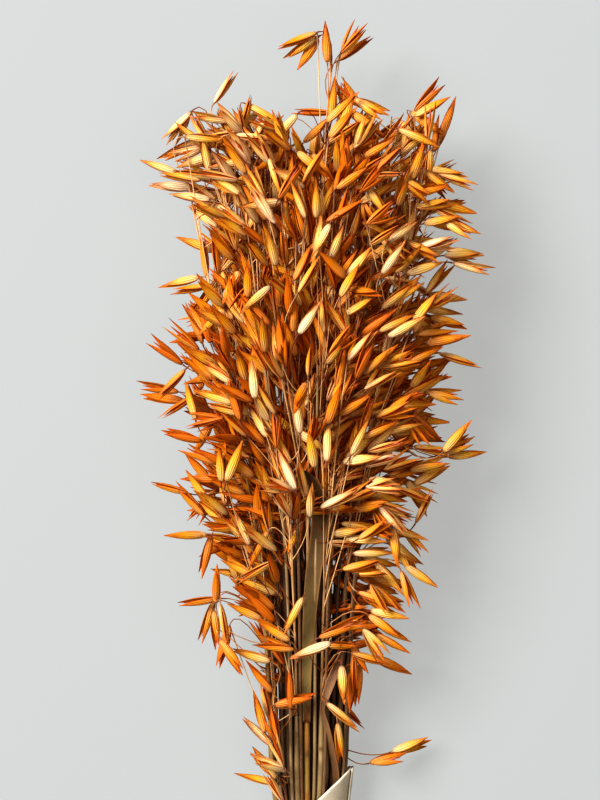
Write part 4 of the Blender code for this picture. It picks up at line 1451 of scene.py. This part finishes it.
# The tie: jute twine of three plies, wound three times round the wrap's waist and knotted on top, with
# two cut ends that fray a little.
TWINE_TURNS = 3
TWINE_PITCH = 0.0024
KNOT = (
    (0.0012, -0.0050, 0.0002),
    (-0.0014, -0.0018, 0.0014),
    (0.0014, 0.0018, 0.0014),
    (-0.0012, 0.0050, 0.0002),
)
LOOSE_END = (
    (0, 0, 0.0010),
    (0.005, 0.002, 0.0018),
    (0.011, 0.005, 0.0014),
    (0.016, 0.009, -0.0008),
)

# Where the twine comes down from the paper's lap and climbs it again, in degrees round the wrap.
LAP_TURNS, LAP_HEIGHTS = (0, 18, 50, LAP_FROM, LAP_FROM + LAP_RISE, 360), (1, 1, 0, 0, 1, 1)
TURN_STEPS = 20


def twine_route():
    """The turns round the wrap's waist: an ellipse that moves on by a pitch a turn, and over the lap."""
    wide, deep, centre, _ = paper_section(0)
    out = PAPER_THICK / 2 + TWINE_CLEAR + TWINE_RADIUS
    t = np.linspace(0, 1, TURN_STEPS * TWINE_TURNS + 1)
    angle = math.pi / 2 + 2 * math.pi * TWINE_TURNS * t
    y = TWINE_PITCH * TWINE_TURNS * (t - 0.5)
    over = PAPER_LAP * np.interp(np.degrees(angle) % 360, LAP_TURNS, LAP_HEIGHTS)
    x = (wide + out + over) * np.cos(angle)
    z = centre + (deep + out + over) * np.sin(angle)
    return np.stack([x, y, z], -1)


PLIES, PLY_SIDES = 3, 6
PLY_RADIUS, PLY_OFFSET = 0.00056, 0.00050
PLY_TWIST = 0.0075
OFF_COURSE = (0.3, 0.9, 0.35)
FRAY_HAIRS, HAIR_POINTS, HAIR_SIDES = 16, 4, 3
FRAY_SPREAD, FRAY_SAG = 0.45, 0.25
FRAY_LENGTHS = (0.0015, 0.0045)
HAIR_RADII = (0.00012, 0.00003)
HAIR_TINT = 0.5


def smoothed(points, count):
    """A smooth path of count points through the given ones."""
    points = np.array(points, float)
    share = np.linspace(0, len(points) - 1, count)
    return np.stack([eased(share, range(len(points)), column) for column in points.T], -1)


def lay_twine(heap, path, draw):
    """Three plies, each a tube on a helix round the path that turns once in a twist's length.

    No twine here runs along OFF_COURSE, so the cross product with that points across it.
    """
    ahead = way(path)
    across = normal(np.cross(ahead, OFF_COURSE))
    up = np.cross(ahead, across)
    run = np.concatenate([[0], np.cumsum(np.linalg.norm(np.diff(path, axis=0), axis=1))])
    turn = run / PLY_TWIST * 2 * math.pi + np.arange(PLIES)[:, None] * 2 * math.pi / PLIES
    turn = turn[..., None]
    plies = path + PLY_OFFSET * (np.cos(turn) * across + np.sin(turn) * up)
    heap.add_round(plies, PLY_RADIUS, PLY_SIDES, looks(run[:, None], 0, draw.random((PLIES, 1, 1))))


def fray(heap, end, ahead, draw):
    """Loose fibres that fan out of a cut end, each a fine tapered hair with a slight curve."""
    spread = normal(ahead + FRAY_SPREAD * draw.normal(size=(FRAY_HAIRS, 3)))
    long = draw.uniform(*FRAY_LENGTHS, (FRAY_HAIRS, 1, 1))
    t = np.linspace(0, 1, HAIR_POINTS)[:, None]
    sag = -FRAY_SAG * long * t**2 * (0, 0, 1)
    path = end + t * long * spread[:, None] + sag
    heap.add_round(path, np.linspace(*HAIR_RADII, HAIR_POINTS), HAIR_SIDES, HAIR_TINT)


def twine_finish():
    """Hairy jute: tan plies, each a little different, flecked with pale fibres, and with dark flecks of
    painted shade for the hollows between them.
    """
    finish = Finish("twine", 0.85)
    _, _, tint, _ = finish.look()
    fibre = finish.noise(3.0, 1800, 1800, 1800)
    colour = finish.mix(tint, (0.36, 0.235, 0.115), (0.47, 0.335, 0.185))
    colour = finish.mix(finish.step(fibre, 0.45, 0.75) * 0.6, colour, (0.62, 0.49, 0.31))
    # Painted shade: dark flecks stand for the hollows between the fibres.
    colour = finish.mix(finish.step(fibre, 0.40, 0.20) * 0.6, colour, (0.16, 0.09, 0.04))
    finish.feed(finish.shader, {"Base Color": colour, "Roughness": 0.75 + 0.2 * fibre})
    finish.bump(fibre, 0.00025)
    return finish


TWINE_DRAWS = 14
ROUTE_POINTS, KNOT_POINTS, END_POINTS = 420, 40, 60

heap = Heap()
draw = draws(TWINE_DRAWS)
route = twine_route()
lay_twine(heap, smoothed(route, ROUTE_POINTS), draw)
top = np.array([0, 0, route[:, 2].max()])
lay_twine(heap, smoothed(np.array(KNOT) + top, KNOT_POINTS), draw)
for side in (-1, 1):
    end = smoothed(np.array(LOOSE_END) * (side, 1, 1) + top, END_POINTS)
    lay_twine(heap, end, draw)
    fray(heap, end[-1], way(end)[-1], draw)
heap.piece("jute_tie", twine_finish(), "twine", "tie")
